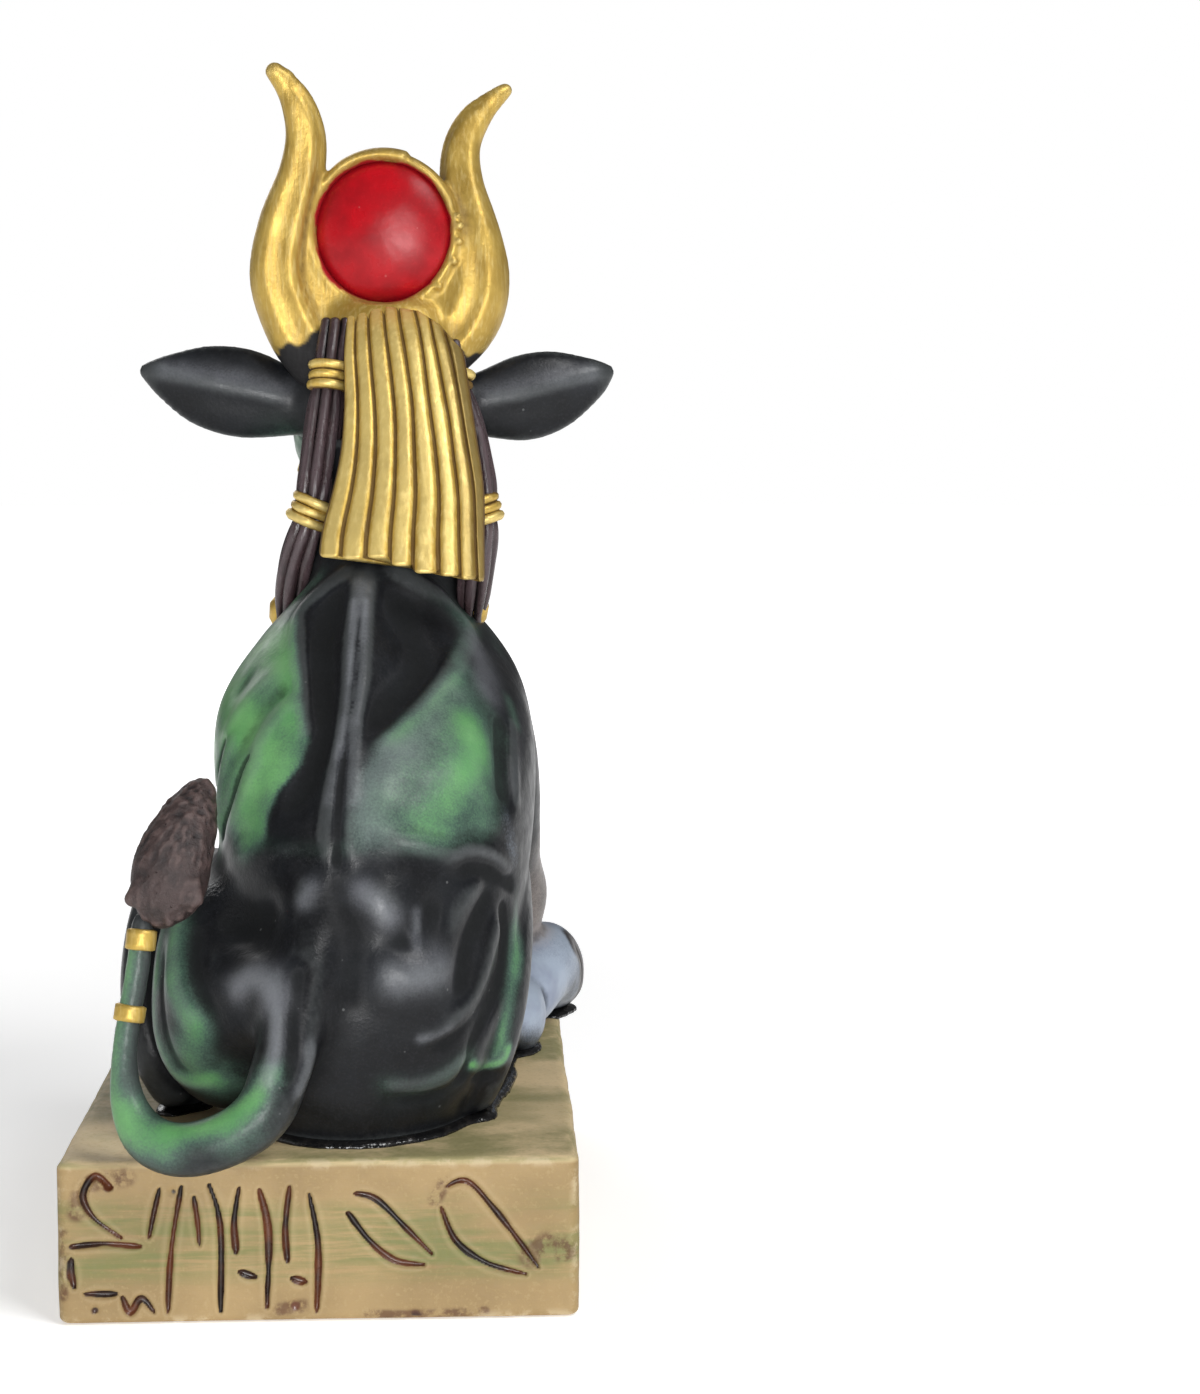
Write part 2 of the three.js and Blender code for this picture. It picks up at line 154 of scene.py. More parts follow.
def to_path(points, path):
    """Squared distance from points to a path of joined straight runs, and the place along it."""
    nearest = np.full(points[0].shape, FAR**4, np.float32)
    place = np.zeros(points[0].shape, np.float32)
    runs = len(path) - 1
    for k in range(runs):
        start = path[k]
        run = path[k + 1] - start
        offset = [points[i] - start[i] for i in range(3)]
        t = sum(offset[i] * run[i] for i in range(3)) / max(run @ run, TINY)
        t = np.clip(t, 0, 1)
        square = sum((offset[i] - t * run[i]) ** 2 for i in range(3))
        closer = square < nearest
        nearest = np.where(closer, square, nearest)
        place = np.where(closer, (k + t) / runs, place)
    return nearest, place


# Clay

class Clay:
    """A block of distances to the surface in millimetres, below zero inside the form."""

    def __init__(self, low, high, cell):
        self.low = np.array(low, float)
        self.cell = cell
        size = np.ceil((np.array(high, float) - self.low) / cell).astype(int) + 1
        self.field = np.full(size, FAR, np.float32)

    def window(self, low, high):
        """The part of the block between two corners, and the places of its cells."""
        first = np.floor((np.asarray(low) - self.low) / self.cell).astype(int)
        last = np.ceil((np.asarray(high) - self.low) / self.cell).astype(int) + 1
        first = np.clip(first, 0, self.field.shape)
        last = np.clip(last, first, self.field.shape)
        part = tuple(slice(a, b) for a, b in zip(first, last))
        lines = [self.low[i] + self.cell * np.arange(first[i], last[i]) for i in range(3)]
        places = np.meshgrid(*[line.astype(np.float32) for line in lines], indexing="ij")
        return part, places

    def whole(self):
        return self.window(self.low, self.low + self.cell * np.array(self.field.shape))

    def join(self, part, distance, soft):
        here = self.field[part]
        near = np.maximum(soft - np.abs(here - distance), 0) / soft
        self.field[part] = np.minimum(here, distance) - near * near * soft / 4

    def cut(self, part, distance, soft):
        here = self.field[part]
        near = np.maximum(soft - np.abs(here + distance), 0) / soft
        self.field[part] = np.maximum(here, -distance) + near * near * soft / 4

    def limb(self, stations, soft=1.5, across=(1, 0, 0), count=24, hollow=False):
        """A tube through stations of x, y, z, radius along `across` and the other radius."""
        rows = smoothed(stations, count)
        reach = rows[:, 3:].max() + soft + self.cell
        part, places = self.window(
            rows[:, :3].min(axis=0) - reach, rows[:, :3].max(axis=0) + reach
        )
        distance = np.full(places[0].shape, FAR, np.float32)
        for start, end in zip(rows[:-1], rows[1:]):
            distance = np.minimum(distance, along_tube(places, start, end, across))
        if hollow:
            self.cut(part, distance, soft)
        else:
            self.join(part, distance, soft)

    def ball(self, centre, radii, soft=1.5, hollow=False):
        reach = max(radii) + soft + self.cell
        middle = np.array(centre, float)
        part, places = self.window(middle - reach, middle + reach)
        offset = [places[i] - middle[i] for i in range(3)]
        distance = round_distance(offset, radii)
        if hollow:
            self.cut(part, distance, soft)
        else:
            self.join(part, distance, soft)

    def stroke(self, points, width, height):
        """Raises a soft ridge along points, or presses a groove where height is negative."""
        path = smoothed(points, 4 * len(points))
        along = np.concatenate([[0], np.cumsum(np.linalg.norm(np.diff(path, axis=0), axis=1))])
        count = max(math.ceil(along[-1] / (TOUCH_SPACING * width)), 2)
        stops = along[-1] * (np.arange(count) + 0.5) / count
        share = height * along[-1] / count / (width * math.sqrt(math.pi))
        for stop in stops:
            touch = np.array([np.interp(stop, along, path[:, i]) for i in range(3)])
            reach = TOUCH_REACH * width
            part, places = self.window(touch - reach, touch + reach)
            square = sum((places[i] - touch[i]) ** 2 for i in range(3))
            self.field[part] -= share * np.exp(-square / width**2)

    def soften(self, passes):
        """Rounds every edge of the form off a little."""
        for _ in range(passes):
            for axis in range(3):
                field = np.moveaxis(self.field, axis, 0)
                field[1:-1] = (field[:-2] + field[1:-1] + field[2:]) / 3

    def rear(self, x, z):
        """The y of the surface seen from behind at x and z."""
        i = int(round((x - self.low[0]) / self.cell))
        k = int(round((z - self.low[2]) / self.cell))
        column = self.field[i, :, k]
        if column.min() >= 0:
            return self.low[1] + self.cell * int(np.argmin(column))
        j = max(int(np.argmax(column < 0)), 1)
        inside = column[j] / (column[j] - column[j - 1] - TINY)
        return self.low[1] + self.cell * (j - inside)

    def laid(self, pairs):
        """Points on the surface seen from behind, from pairs of x and z."""
        return [(x, self.rear(x, z), z) for x, z in pairs]

    def sampled(self, values, points):
        """Values of a block like this one's, read at points."""
        place = (points - self.low) / self.cell
        base = np.clip(np.floor(place).astype(int), 0, np.array(values.shape) - 2)
        t = np.clip(place - base, 0, 1)
        total = np.zeros(len(points))
        for corner in np.ndindex(2, 2, 2):
            index = base + corner
            weight = np.prod(np.where(corner, t, 1 - t), axis=1)
            total += weight * values[index[:, 0], index[:, 1], index[:, 2]]
        return total

    def crests(self, points, reach):
        """How far each point stands out of the form round it, from -1 in folds to 1 on crests."""
        spread = self.field
        steps = max(int(reach / self.cell), 1)
        for axis in range(3):
            total = spread.copy()
            for step in range(1, steps + 1):
                total += np.roll(spread, step, axis) + np.roll(spread, -step, axis)
            spread = total / (2 * steps + 1)
        return np.clip(self.sampled(spread, points) / (CREST_SCALE * reach), -1, 1)

    def skinned(self):
        """The surface as points in millimetres and four-sided faces that look outward."""
        grid = openvdb.FloatGrid(FAR)
        grid.copyFromArray(self.field)
        grid.transform = openvdb.createLinearTransform(voxelSize=self.cell)
        points, faces = grid.convertToQuads(isovalue=0.0)
        points = points.astype(float) + self.low
        return points, facing_out(points, faces)


def round_distance(offset, radii):
    """Distance to a ball with three radii, near enough for joining."""
    least = np.minimum(np.minimum(radii[0], radii[1]), radii[2])
    near = np.sqrt(sum((offset[i] / radii[i]) ** 2 for i in range(3)) + TINY)
    slope = np.sqrt(sum((offset[i] / radii[i] ** 2) ** 2 for i in range(3)) + TINY / least**2)
    return near * (near - 1) / slope


def along_tube(places, start, end, across):
    """Distance to one straight length of a tube between two rows of a limb."""
    run = end[:3] - start[:3]
    length = max(np.linalg.norm(run), TINY)
    along = run / length
    u = np.array(across, float)
    u = u - (u @ along) * along
    u = u / np.linalg.norm(u)
    v = np.cross(along, u)
    offset = [places[i] - start[i] for i in range(3)]
    forward = sum(offset[i] * along[i] for i in range(3))
    t = np.clip(forward / length, 0, 1)
    near = start[3] + (end[3] - start[3]) * t
    other = start[4] + (end[4] - start[4]) * t
    local = [
        sum(offset[i] * u[i] for i in range(3)),
        sum(offset[i] * v[i] for i in range(3)),
        forward - t * length,
    ]
    return round_distance(local, [near, other, np.minimum(near, other)])


def facing_out(points, faces):
    corners = points[faces]
    normal = np.cross(corners[:, 1] - corners[:, 0], corners[:, 2] - corners[:, 0])
    volume = np.einsum("ij,ij->", corners[:, 0] - points.mean(axis=0), normal)
    return faces[:, ::-1] if volume < 0 else faces


# Meshes and pieces

def loft(rings):
    """Points and faces of a closed skin over rings of equally many points."""
    sides = len(rings[0])
    points = np.concatenate(rings)
    faces = []
    for k in range(len(rings) - 1):
        for i in range(sides):
            a = k * sides + i
            b = k * sides + (i + 1) % sides
            faces.append((a, b, b + sides, a + sides))
    top = (len(rings) - 1) * sides
    ends = np.stack([rings[0].mean(axis=0), rings[-1].mean(axis=0)])
    first = len(points)
    for i in range(sides):
        after = (i + 1) % sides
        faces.append((first, after, i))
        faces.append((first + 1, top + i, top + after))
    return np.concatenate([points, ends]), faces


def end_rings(centre, ring, reach):
    """Two rings that round off the end of a tube, the outer one first."""
    return [centre + reach + 0.55 * ring, centre + 0.6 * reach + 0.85 * ring]


def tube(rows, sides, across=(1, 0, 0), cap=0.5):
    """A loft with rounded ends along rows of x, y, z and two radii."""
    rows = np.asarray(rows, float)
    angles = np.linspace(0, 2 * np.pi, sides, endpoint=False)[:, None]
    rings = []
    final = len(rows) - 1
    for k, row in enumerate(rows):
        centre = row[:3]
        run = rows[min(k + 1, final), :3] - rows[max(k - 1, 0), :3]
        along = run / max(np.linalg.norm(run), TINY)
        u = np.array(across, float)
        u = u - (u @ along) * along
        u = u / np.linalg.norm(u)
        v = np.cross(along, u)
        ring = row[3] * np.cos(angles) * u + row[4] * np.sin(angles) * v
        reach = along * cap * min(row[3], row[4])
        if k == 0:
            rings.extend(end_rings(centre, ring, -reach))
        rings.append(centre + ring)
        if k == final:
            rings.extend(end_rings(centre, ring, reach)[::-1])
    return loft(rings)


def merged(parts):
    """Several sets of points and faces as one."""
    points = []
    faces = []
    start = 0
    for some_points, some_faces in parts:
        points.append(some_points)
        faces.extend(tuple(int(i) + start for i in face) for face in some_faces)
        start += len(some_points)
    return np.concatenate(points), faces


def piece(name, points, faces, material, marks=None):
    """A smooth piece in the object's frame, with values painted on its points."""
    mesh = bpy.data.meshes.new(name)
    mesh.from_pydata(points.tolist(), [], [tuple(int(i) for i in face) for face in faces])
    mesh.update()
    mesh.shade_smooth()
    for mark, values in (marks or {}).items():
        layer = mesh.attributes.new(mark, "FLOAT", "POINT")
        layer.data.foreach_set("value", np.asarray(values, np.float32))
    mesh.materials.append(material)
    made = bpy.data.objects.new(name, mesh)
    bpy.context.scene.collection.objects.link(made)
    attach(made, "root")
    return made


def brushed(points, strokes):
    """Paint put on along strokes of path, width and strength: the strongest at each point."""
    places = [points[:, i].astype(np.float32) for i in range(3)]
    total = np.zeros(len(points), np.float32)
    for line, width, strength in strokes:
        path = smoothed(line, 3 * len(line))
        square, _ = to_path(places, path)
        total = 1 - (1 - total) * (1 - strength * np.exp(-square / width**2))
    return total


# Body, legs and tail

TRUNK = [
    # height, rear edge, front edge, middle, half width
    (-2, 8, 48, 0, 15.5),
    (5, 4, 53, 0, 17.6),
    (13, 1.6, 56, 0.2, 19.4),
    (22, 1.2, 57, 0.6, 20.6),
    (31, 2.6, 58, 1.4, 21),
    (40, 5.2, 61, 1.4, 21.8),
    (48, 9.4, 66, 0.6, 22.4),
    (54, 14, 69, -0.2, 21.8),
    (59, 18.5, 70.5, -0.6, 19.6),
    (64, 22.8, 71.6, -1, 15.8),
    (69, 27.5, 72, -0.9, 12.4),
    (75, 32.5, 71, 0.6, 11.6),
    (83, 36.5, 68, 0.8, 10.5),
    (92, 39, 65, 0.4, 10),
    (101, 42, 60, 0, 9),
]
THIGH = [
    (8.8, 14, 15, 9.8, 13),
    (10.8, 22, 18.4, 9.6, 15),
    (12.8, 33, 22, 8, 12.5),
    (15.6, 42, 25.6, 5.6, 8.5),
    (17.4, 46.5, 27, 4, 6),
]
LEFT_THIGH_OUT = 7.4
LEFT_LEG_OUT = 10
HIND_FOOT_PAINT_OUT = 6
HIP = (-9, 7.5, 19)
UNDER_THIGH = (-20.6, 13, 0.8)
FOOT_LUMP = (19, 61, 5.4)
SHANK = [
    (18.6, 38, 30, 3.8, 4.6),
    (20, 30, 24.6, 3.4, 4.6),
    (20, 24, 17, 3.2, 4.4),
    (18.6, 21.4, 9.6, 3, 4),
    (16, 22.4, 4, 3.2, 3.8),
]
FOOT = [
    (14.6, 25.6, 3.8, 3.6, 4.2),
    (15.6, 42, 4, 3.8, 4),
    (16, 58, 4.8, 4.2, 4.6),
    (18.8, 69, 7.4, 5.2, 6),
    (20.6, 77, 9.6, 5.8, 6.6),
    (21.4, 83.4, 7.8, 5.8, 6.6),
    (21.8, 88, 4.6, 5, 4.4),
]
SHOULDER = [
    (4, 51, 65, 7.6, 8),
    (10, 52, 57, 8.6, 11),
    (13.8, 55, 48, 7.8, 9.6),
    (16, 58.6, 38.5, 6.2, 7.6),
    (16.4, 63, 31.5, 5, 6),
]
FORELEG = [
    (16.4, 62, 33, 5, 6),
    (16.9, 67, 27, 4.8, 5.2),
    (17.2, 71.4, 21.6, 5, 5.2),
    (16.2, 74.6, 14, 3.9, 4.2),
    (15, 77, 7, 4.2, 4.4),
    (14.6, 79, 2.4, 5.2, 6),
]
TAIL = [
    (-2.6, 8, 31, 3.8, 4),
    (-3.4, 3.6, 25, 4.2, 4),
    (-4.8, 0.4, 19, 4.2, 4),
    (-6.2, -2.4, 13, 4, 3.9),
    (-8, -4.8, 7.8, 3.8, 3.8),
    (-12, -6, 4.6, 3.6, 3.6),
    (-18, -6.2, 2.8, 3.5, 3.5),
    (-22.8, -5.6, 4, 3.2, 3.2),
    (-25.6, -4.4, 8, 2.4, 2.4),
    (-26.4, -3.2, 13.5, 1.8, 1.8),
    (-25.9, -2, 19, 1.65, 1.7),
    (-25, -1, 24.6, 1.65, 1.7),
    (-24.4, 0.2, 31, 1.6, 1.6),
]
TUFT = [
    (-22.4, 1, 32.6, 2.6, 3),
    (-21.4, 1.6, 35.2, 4, 4.8),
    (-20.8, 2.4, 38.6, 4.2, 4.9),
    (-19.4, 4.2, 43, 3.6, 3.9),
    (-17.8, 6, 47, 1.8, 1.9),
]
FRINGE = (
    (-25.6, 33.4),
    (-24.2, 31.8),
    (-22.6, 31.2),
    (-21, 31),
    (-19.6, 31.8),
    (-18.2, 32.8),
    (-17, 34),
)

# Lines of the back and the rump as seen from behind, each point an x and a z
SPINE = [
    (0.2, 74),
    (-0.1, 70.3),
    (0.3, 65.2),
    (0.5, 60.3),
    (0.4, 55.4),
    (0, 51.5),
    (-0.2, 48),
    (0, 42),
    (0, 37.7),
]
SPINE_LEFT = [(-0.9, 70.3), (-0.5, 65.2), (-0.3, 60.2), (-0.4, 55.4), (-0.8, 51.1), (-1.5, 45.7), (-2.2, 41)]
SPINE_RIGHT = [(0.7, 70.3), (1.1, 65.2), (1.3, 60.3), (1.2, 55.4), (1.4, 50.5), (1.8, 45.7)]
BLADE_LEFT = [(-2, 74), (-6.2, 71.2), (-9.1, 68.3), (-8.6, 64.9), (-7.2, 60), (-5.8, 55), (-5.1, 52.8)]
BLADE_RIGHT = [
    (3.2, 74.2),
    (7.3, 71.5),
    (11.2, 68.3),
    (13.4, 65.1),
    (13, 61.5),
    (9.8, 57.6),
    (7.2, 55),
    (4, 51.6),
]
PLANE_LEFT = [(-3.5, 71), (-5, 65), (-4.4, 59), (-3.8, 53), (-5, 48), (-7.6, 44)]
PLANE_RIGHT = [(4.4, 71), (7.6, 66), (8.6, 61.6), (6, 57.4), (3.6, 54)]
TENT = [
    # height, left edge, right edge
    (39, -10.5, 2),
    (43.2, -10, 2),
    (46.4, -8.7, 2.2),
    (49.7, -5.8, 2.8),
    (52.6, -5.1, 4.6),
    (55, -5.8, 7.2),
    (57.6, -6.5, 9.8),
    (61.5, -7.6, 13),
    (65.1, -8.6, 13.4),
    (68.3, -9.1, 11.2),
    (71.2, -6.2, 7.3),
    (74.2, -2, 3.2),
]
FLANK_LEFT_VALLEY = [(-8.5, 59.9), (-11.5, 57.2), (-14, 53.3), (-15.4, 50.6)]
FLANK_LEFT_CREASE = [(-13.7, 50.6), (-15, 47.5), (-16.4, 43.4), (-18, 39)]
FLANK_LEFT_RIDGE = [(-16.4, 52), (-17.8, 48), (-18.4, 44), (-19, 40)]
FLANK_RIGHT_VALLEY = [(18.6, 54.1), (19.2, 49.2), (19.6, 44.1)]
FLANK_RIGHT_RIDGE = [(20.2, 53.4), (21, 48.1), (21.5, 42.9)]
WAIST_RIGHT = [(5.5, 40.4), (10.2, 39.6), (14.8, 38.2), (16.5, 38.7), (19.2, 37.3), (21, 34.4)]
WAIST_LEFT = [(-16.5, 36.5), (-10.9, 38.8), (-5, 40)]
HAUNCH_OVAL = [(3.4, 34.6), (5.1, 33.4), (6.8, 31.4)]
HAUNCH_FOLD = [(10.2, 31.5), (10.2, 29.2), (10.4, 26.9)]
HAUNCH_RIDGE = [(17.4, 33.9), (15.7, 31.6), (14.1, 29.7), (12.6, 27.9)]
HAUNCH_BROAD = [(5.9, 22.6), (8.3, 23.6), (11.3, 23.9), (13.1, 24.6)]
THIGH_LINE = [
    (10.8, 15.2),
    (12.9, 15.4),
    (14.5, 16.2),
    (16, 17.5),
    (17.3, 19.3),
    (18.4, 21.9),
    (19.2, 24.9),
    (19.6, 27.2),
]
SHANK_FOLD = [(20.2, 30), (20.5, 25.4), (20.3, 21.3), (19.5, 17.7), (18.3, 14.7), (17, 12), (15.8, 8)]
HOCK_EDGE = [(16.7, 10), (17.9, 8.7), (20.2, 8.8), (21, 10.5)]
SEAT_RIDGE = [(6.4, 9.1), (10.9, 8.7), (14.2, 9.7), (16.2, 11.8)]
LEFT_THIGH_EDGE = [(-25, 29), (-25.8, 22), (-25.6, 16.6), (-24.4, 11.6), (-22.6, 8.6), (-19.9, 8), (-16.9, 9)]
LEFT_THIGH_RIDGE = [(-23.4, 28), (-22.8, 23.6), (-21.4, 20), (-18.8, 16.8)]
LEFT_HIP = [(-12.6, 22.4), (-10.4, 23.8), (-8.4, 23.4), (-7.4, 21.4)]
TAIL_CREST = [(-6.8, 20.2), (-6.6, 17.6), (-6.6, 15), (-7.4, 12.1)]
TAIL_GROOVE = [(-4.1, 25.6), (-4.4, 20.5), (-4.3, 15.2), (-4.8, 11.7)]
TAIL_RIGHT = [(-2.2, 16), (-2.7, 13.3), (-3.5, 10.4)]


def body_sections(clay):
    """The trunk and neck, as level oval sections."""
    rows = smoothed(TRUNK, 80)
    part, (x, y, z) = clay.whole()
    levels = z[0, 0, :]
    rear = np.interp(levels, rows[:, 0], rows[:, 1])
    front = np.interp(levels, rows[:, 0], rows[:, 2])
    half = np.interp(levels, rows[:, 0], rows[:, 4])
    deep = (front - rear) / 2
    x = x - np.interp(levels, rows[:, 0], rows[:, 3])
    y = y - (rear + front) / 2
    near = np.sqrt((x / half) ** 2 + (y / deep) ** 2 + TINY)
    slope = np.sqrt((x / half**2) ** 2 + (y / deep**2) ** 2 + TINY)
    distance = near * (near - 1) / slope
    distance = np.maximum(distance, z - TRUNK[-1][0])
    clay.join(part, distance.astype(np.float32), 1.0)


def press_all(clay, strokes):
    """Ridges and grooves seen from behind, each a line of x and z, a width and a height."""
    for line, width, height in strokes:
        clay.stroke(clay.laid(line), width, height)


def shifted(line, across, up):
    return [(x + across, z + up) for x, z in line]


def press_back(clay):
    """Spine, the flat planes beside it, shoulder blades and the folds of the flanks."""
    press_all(clay, [
        ([(-8.5, 74), (-12, 70.6), (-14, 67.4)], 2.4, -1.3),
        ([(7, 76), (11, 72), (14, 68.6)], 2.4, -1.4),
        (PLANE_LEFT, 2.8, -1.7),
        (PLANE_RIGHT, 3.6, -1.9),
        (BLADE_LEFT, 1.6, 1.1),
        (BLADE_RIGHT, 2.0, 0.9),
        (SPINE, 2.4, 1.4),
        (SPINE_LEFT, 0.8, 0.4),
        (SPINE_RIGHT, 0.8, 0.4),
        (SPINE[1:], 0.8, -0.75),
        (SPINE[-4:], 1.4, -0.6),
        (FLANK_LEFT_VALLEY, 2.4, -0.5),
        (shifted(FLANK_LEFT_VALLEY, -3, 0.6), 1.8, 0.6),
        (shifted(FLANK_LEFT_VALLEY, 1.6, -2), 1.8, 0.7),
        (FLANK_LEFT_CREASE, 0.8, -1.1),
        (shifted(FLANK_LEFT_CREASE, 1.8, 0), 1.7, 0.8),
        (FLANK_LEFT_RIDGE, 1.3, 0.9),
        (shifted(FLANK_LEFT_RIDGE, -1.7, 0), 0.7, -0.6),
        ([(-15, 60.6), (-17.6, 57)], 1.8, -0.4),
        (shifted(FLANK_RIGHT_VALLEY, 0.7, 0), 1.9, -1.5),
        (FLANK_RIGHT_RIDGE, 0.9, 0.5),
        (shifted(FLANK_RIGHT_VALLEY, -2.8, 0), 2.4, 0.6),
        ([(12, 55), (14.4, 51), (14, 46)], 3.2, 0.8),
        ([(6, 50), (5, 46), (6, 43)], 3, 0.6),
    ])


def press_hips(clay):
    """The waist, the haunches and the long fold between thigh and shank."""
    press_all(clay, [
        (shifted(WAIST_RIGHT, 0.2, 1.9), 1.8, -0.4),
        (WAIST_RIGHT, 1.2, 0.75),
        (shifted(WAIST_RIGHT[2:], 0.4, -2.6), 1.6, -0.8),
        (shifted(WAIST_LEFT, 0, 1.6), 1.6, -0.4),
        (WAIST_LEFT, 2.0, 0.35),
        ([(0.6, 37), (0.8, 31), (1, 26), (0.6, 20)], 4.2, -1.4),
        (HAUNCH_OVAL, 3.0, 1.7),
        ([(-4.4, 32), (-3.4, 35.6)], 2.2, 1.1),
        (HAUNCH_FOLD, 1.1, 0.55),
        (shifted(HAUNCH_FOLD, -1.4, 0.4), 1.2, -0.4),
        (shifted(HAUNCH_FOLD, 2.2, 1.4), 2.0, -0.9),
        (HAUNCH_RIDGE, 2.0, 0.6),
        ([(19.2, 32.4), (17.6, 28.4), (16.6, 24), (15.6, 20.4)], 2.2, -1.4),
        (HAUNCH_BROAD, 3.4, 1.8),
        ([(6, 27.8), (9, 27.4), (12, 27)], 1.4, -0.5),
        ([(8.2, 24.6), (7.9, 22)], 0.5, -0.5),
        ([(8.9, 24.9), (11.3, 25.5), (13.1, 25.9)], 0.6, -0.5),
        ([(2, 19), (0.6, 18.6)], 1.6, 0.6),
        (THIGH_LINE, 1.1, 0.5),
        (shifted(THIGH_LINE, 1.4, -1.4), 2.0, -1.0),
        (SHANK_FOLD, 1.2, -1.8),
        (HOCK_EDGE, 0.6, 0.8),
        ([(16.8, 7.6), (18.6, 6.6), (20.4, 7.2)], 0.8, -1.1),
        (SEAT_RIDGE, 1.4, 0.9),
        (shifted(SEAT_RIDGE, 0.6, -2.6), 1.8, -0.6),
        ([(-17.6, 29), (-13, 29.6), (-8, 30.4)], 3.2, -1.5),
    ])


def press_left_thigh(clay):
    """The long folds down the outside of the cow's left thigh, and the lines they run along."""
    press_all(clay, [
        (LEFT_THIGH_EDGE, 1.0, 0.9),
        (shifted(LEFT_THIGH_EDGE, 1.7, 0.6), 0.9, -0.9),
        (LEFT_THIGH_RIDGE, 1.8, 1.1),
        (shifted(LEFT_THIGH_RIDGE, 3.6, 0.4), 1.8, -1.0),
    ])
    return clay.laid(LEFT_THIGH_EDGE), clay.laid(LEFT_THIGH_RIDGE)


def press_tail_root(clay):
    """Where the tail leaves the body: the hip beside it and the strips along its crest."""
    press_all(clay, [
        (LEFT_HIP, 2.8, 1.2),
        (TAIL_GROOVE, 1.7, -0.9),
        (TAIL_CREST, 0.9, 0.5),
        (TAIL_RIGHT, 1.0, 0.5),
    ])


def seat_cutter(clay):
    """Distance to the space that the plinth and its bonding gap take up."""
    part, (x, y, z) = clay.whole()
    return part, np.maximum(z - SEAT_GAP, past_rear_face(x, y) - SEAT_GAP)


def body_clay():
    """The body, legs and tail, and the two lines of paint down the left thigh."""
    clay = Clay((-34, -12, -5), (30, 94, 92), BODY_CELL)
    body_sections(clay)
    left_thigh = [(-x - LEFT_THIGH_OUT, *rest) for x, *rest in THIGH]
    clay.limb(THIGH, soft=3.5)
    clay.limb(left_thigh, soft=3.5)
    for side in (list, mirrored):
        out = LEFT_LEG_OUT if side is mirrored else 0
        clay.limb(side(SHOULDER), soft=3)
        clay.limb(side([(x + out, *rest) for x, *rest in SHANK]), soft=0.9)
        clay.limb(side([(x + out, *rest) for x, *rest in FOOT]), soft=1.2, count=32)
        clay.limb(side(FORELEG), soft=1.5)
        press_feet(clay, side, out)
    clay.ball(FOOT_LUMP, (3.8, 6.4, 5.8), 0.7)
    press_hips(clay)
    thigh_lines = press_left_thigh(clay)
    clay.ball(HIP, (6.5, 7, 6.5), 5)
    clay.limb(TAIL, soft=3.4, across=FORWARD, count=72)
    clay.soften(SOFTENINGS)
    clay.ball(UNDER_THIGH, (2.8, 11, 2.4), 1.0, hollow=True)
    press_tail_root(clay)
    press_back(clay)
    part, cutter = seat_cutter(clay)
    clay.cut(part, cutter.astype(np.float32), 0.05)
    return clay, thigh_lines


def press_feet(clay, side, out):
    """Cloven hooves at the ends of the legs, with the dew claws above them."""
    lines = [
        ([(20.6, 84, 13), (21.4, 88.6, 9), (21.6, 91, 3)], 0.9, -1.1, out),
        ([(26.6, 79, 13), (27, 84, 6.4), (26, 87, 1)], 1.0, -0.7, out),
        ([(19, 60, 9), (22.4, 64, 8), (23.6, 66, 4)], 1.6, -0.9, out),
        ([(14.4, 84.4, 6), (14.4, 86, 3), (14.4, 86, 0)], 0.9, -1.1, 0),
        ([(11, 76, 7), (14.6, 81, 8), (18.6, 78, 7)], 0.9, -0.5, 0),
    ]
    for line, width, height, shift in lines:
        clay.stroke(side([(x + shift, y, z) for x, y, z in line]), width, height)


def tail_top(offset_up, offset_out, from_row, to_row):
    """A line along the tail, moved up and outward by shares of its radius."""
    rows = smoothed(TAIL, 72)[from_row:to_row:4]
    shift = np.stack([-offset_out * rows[:, 3], -0.6 * rows[:, 3], offset_up * rows[:, 3]], axis=1)
    return rows[:, :3] + shift


def tent(points):
    """The dark planes between the shoulder blades, down to the waist: 1 inside them."""
    x, y, z = points.T
    heights, left, right = np.array(TENT).T
    from_left = eased(x - np.interp(z, heights, left), -0.5, 0.8)
    from_right = eased(np.interp(z, heights, right) - x, -1.4, 2.2)
    return from_left * from_right * eased(z, 37, 42) * eased(46 - y, 0, 5)


def flanks(points):
    """The sides of the back above the waist, where the green shows through everywhere."""
    x, y, z = points.T
    level = eased(z, 37.5, 42) * eased(z, 73, 64)
    right = np.interp(z, (51, 62), (21.5, 16))
    return level * eased(x - right, 0, -3.5) * eased(y, 52, 44)


def both_sides(strokes, out=0):
    """Strokes on the cow's right, with the same on its left moved outward."""
    left = [([(-x - out, y, z) for x, y, z in line], width, strength) for line, width, strength in strokes]
    return strokes + left


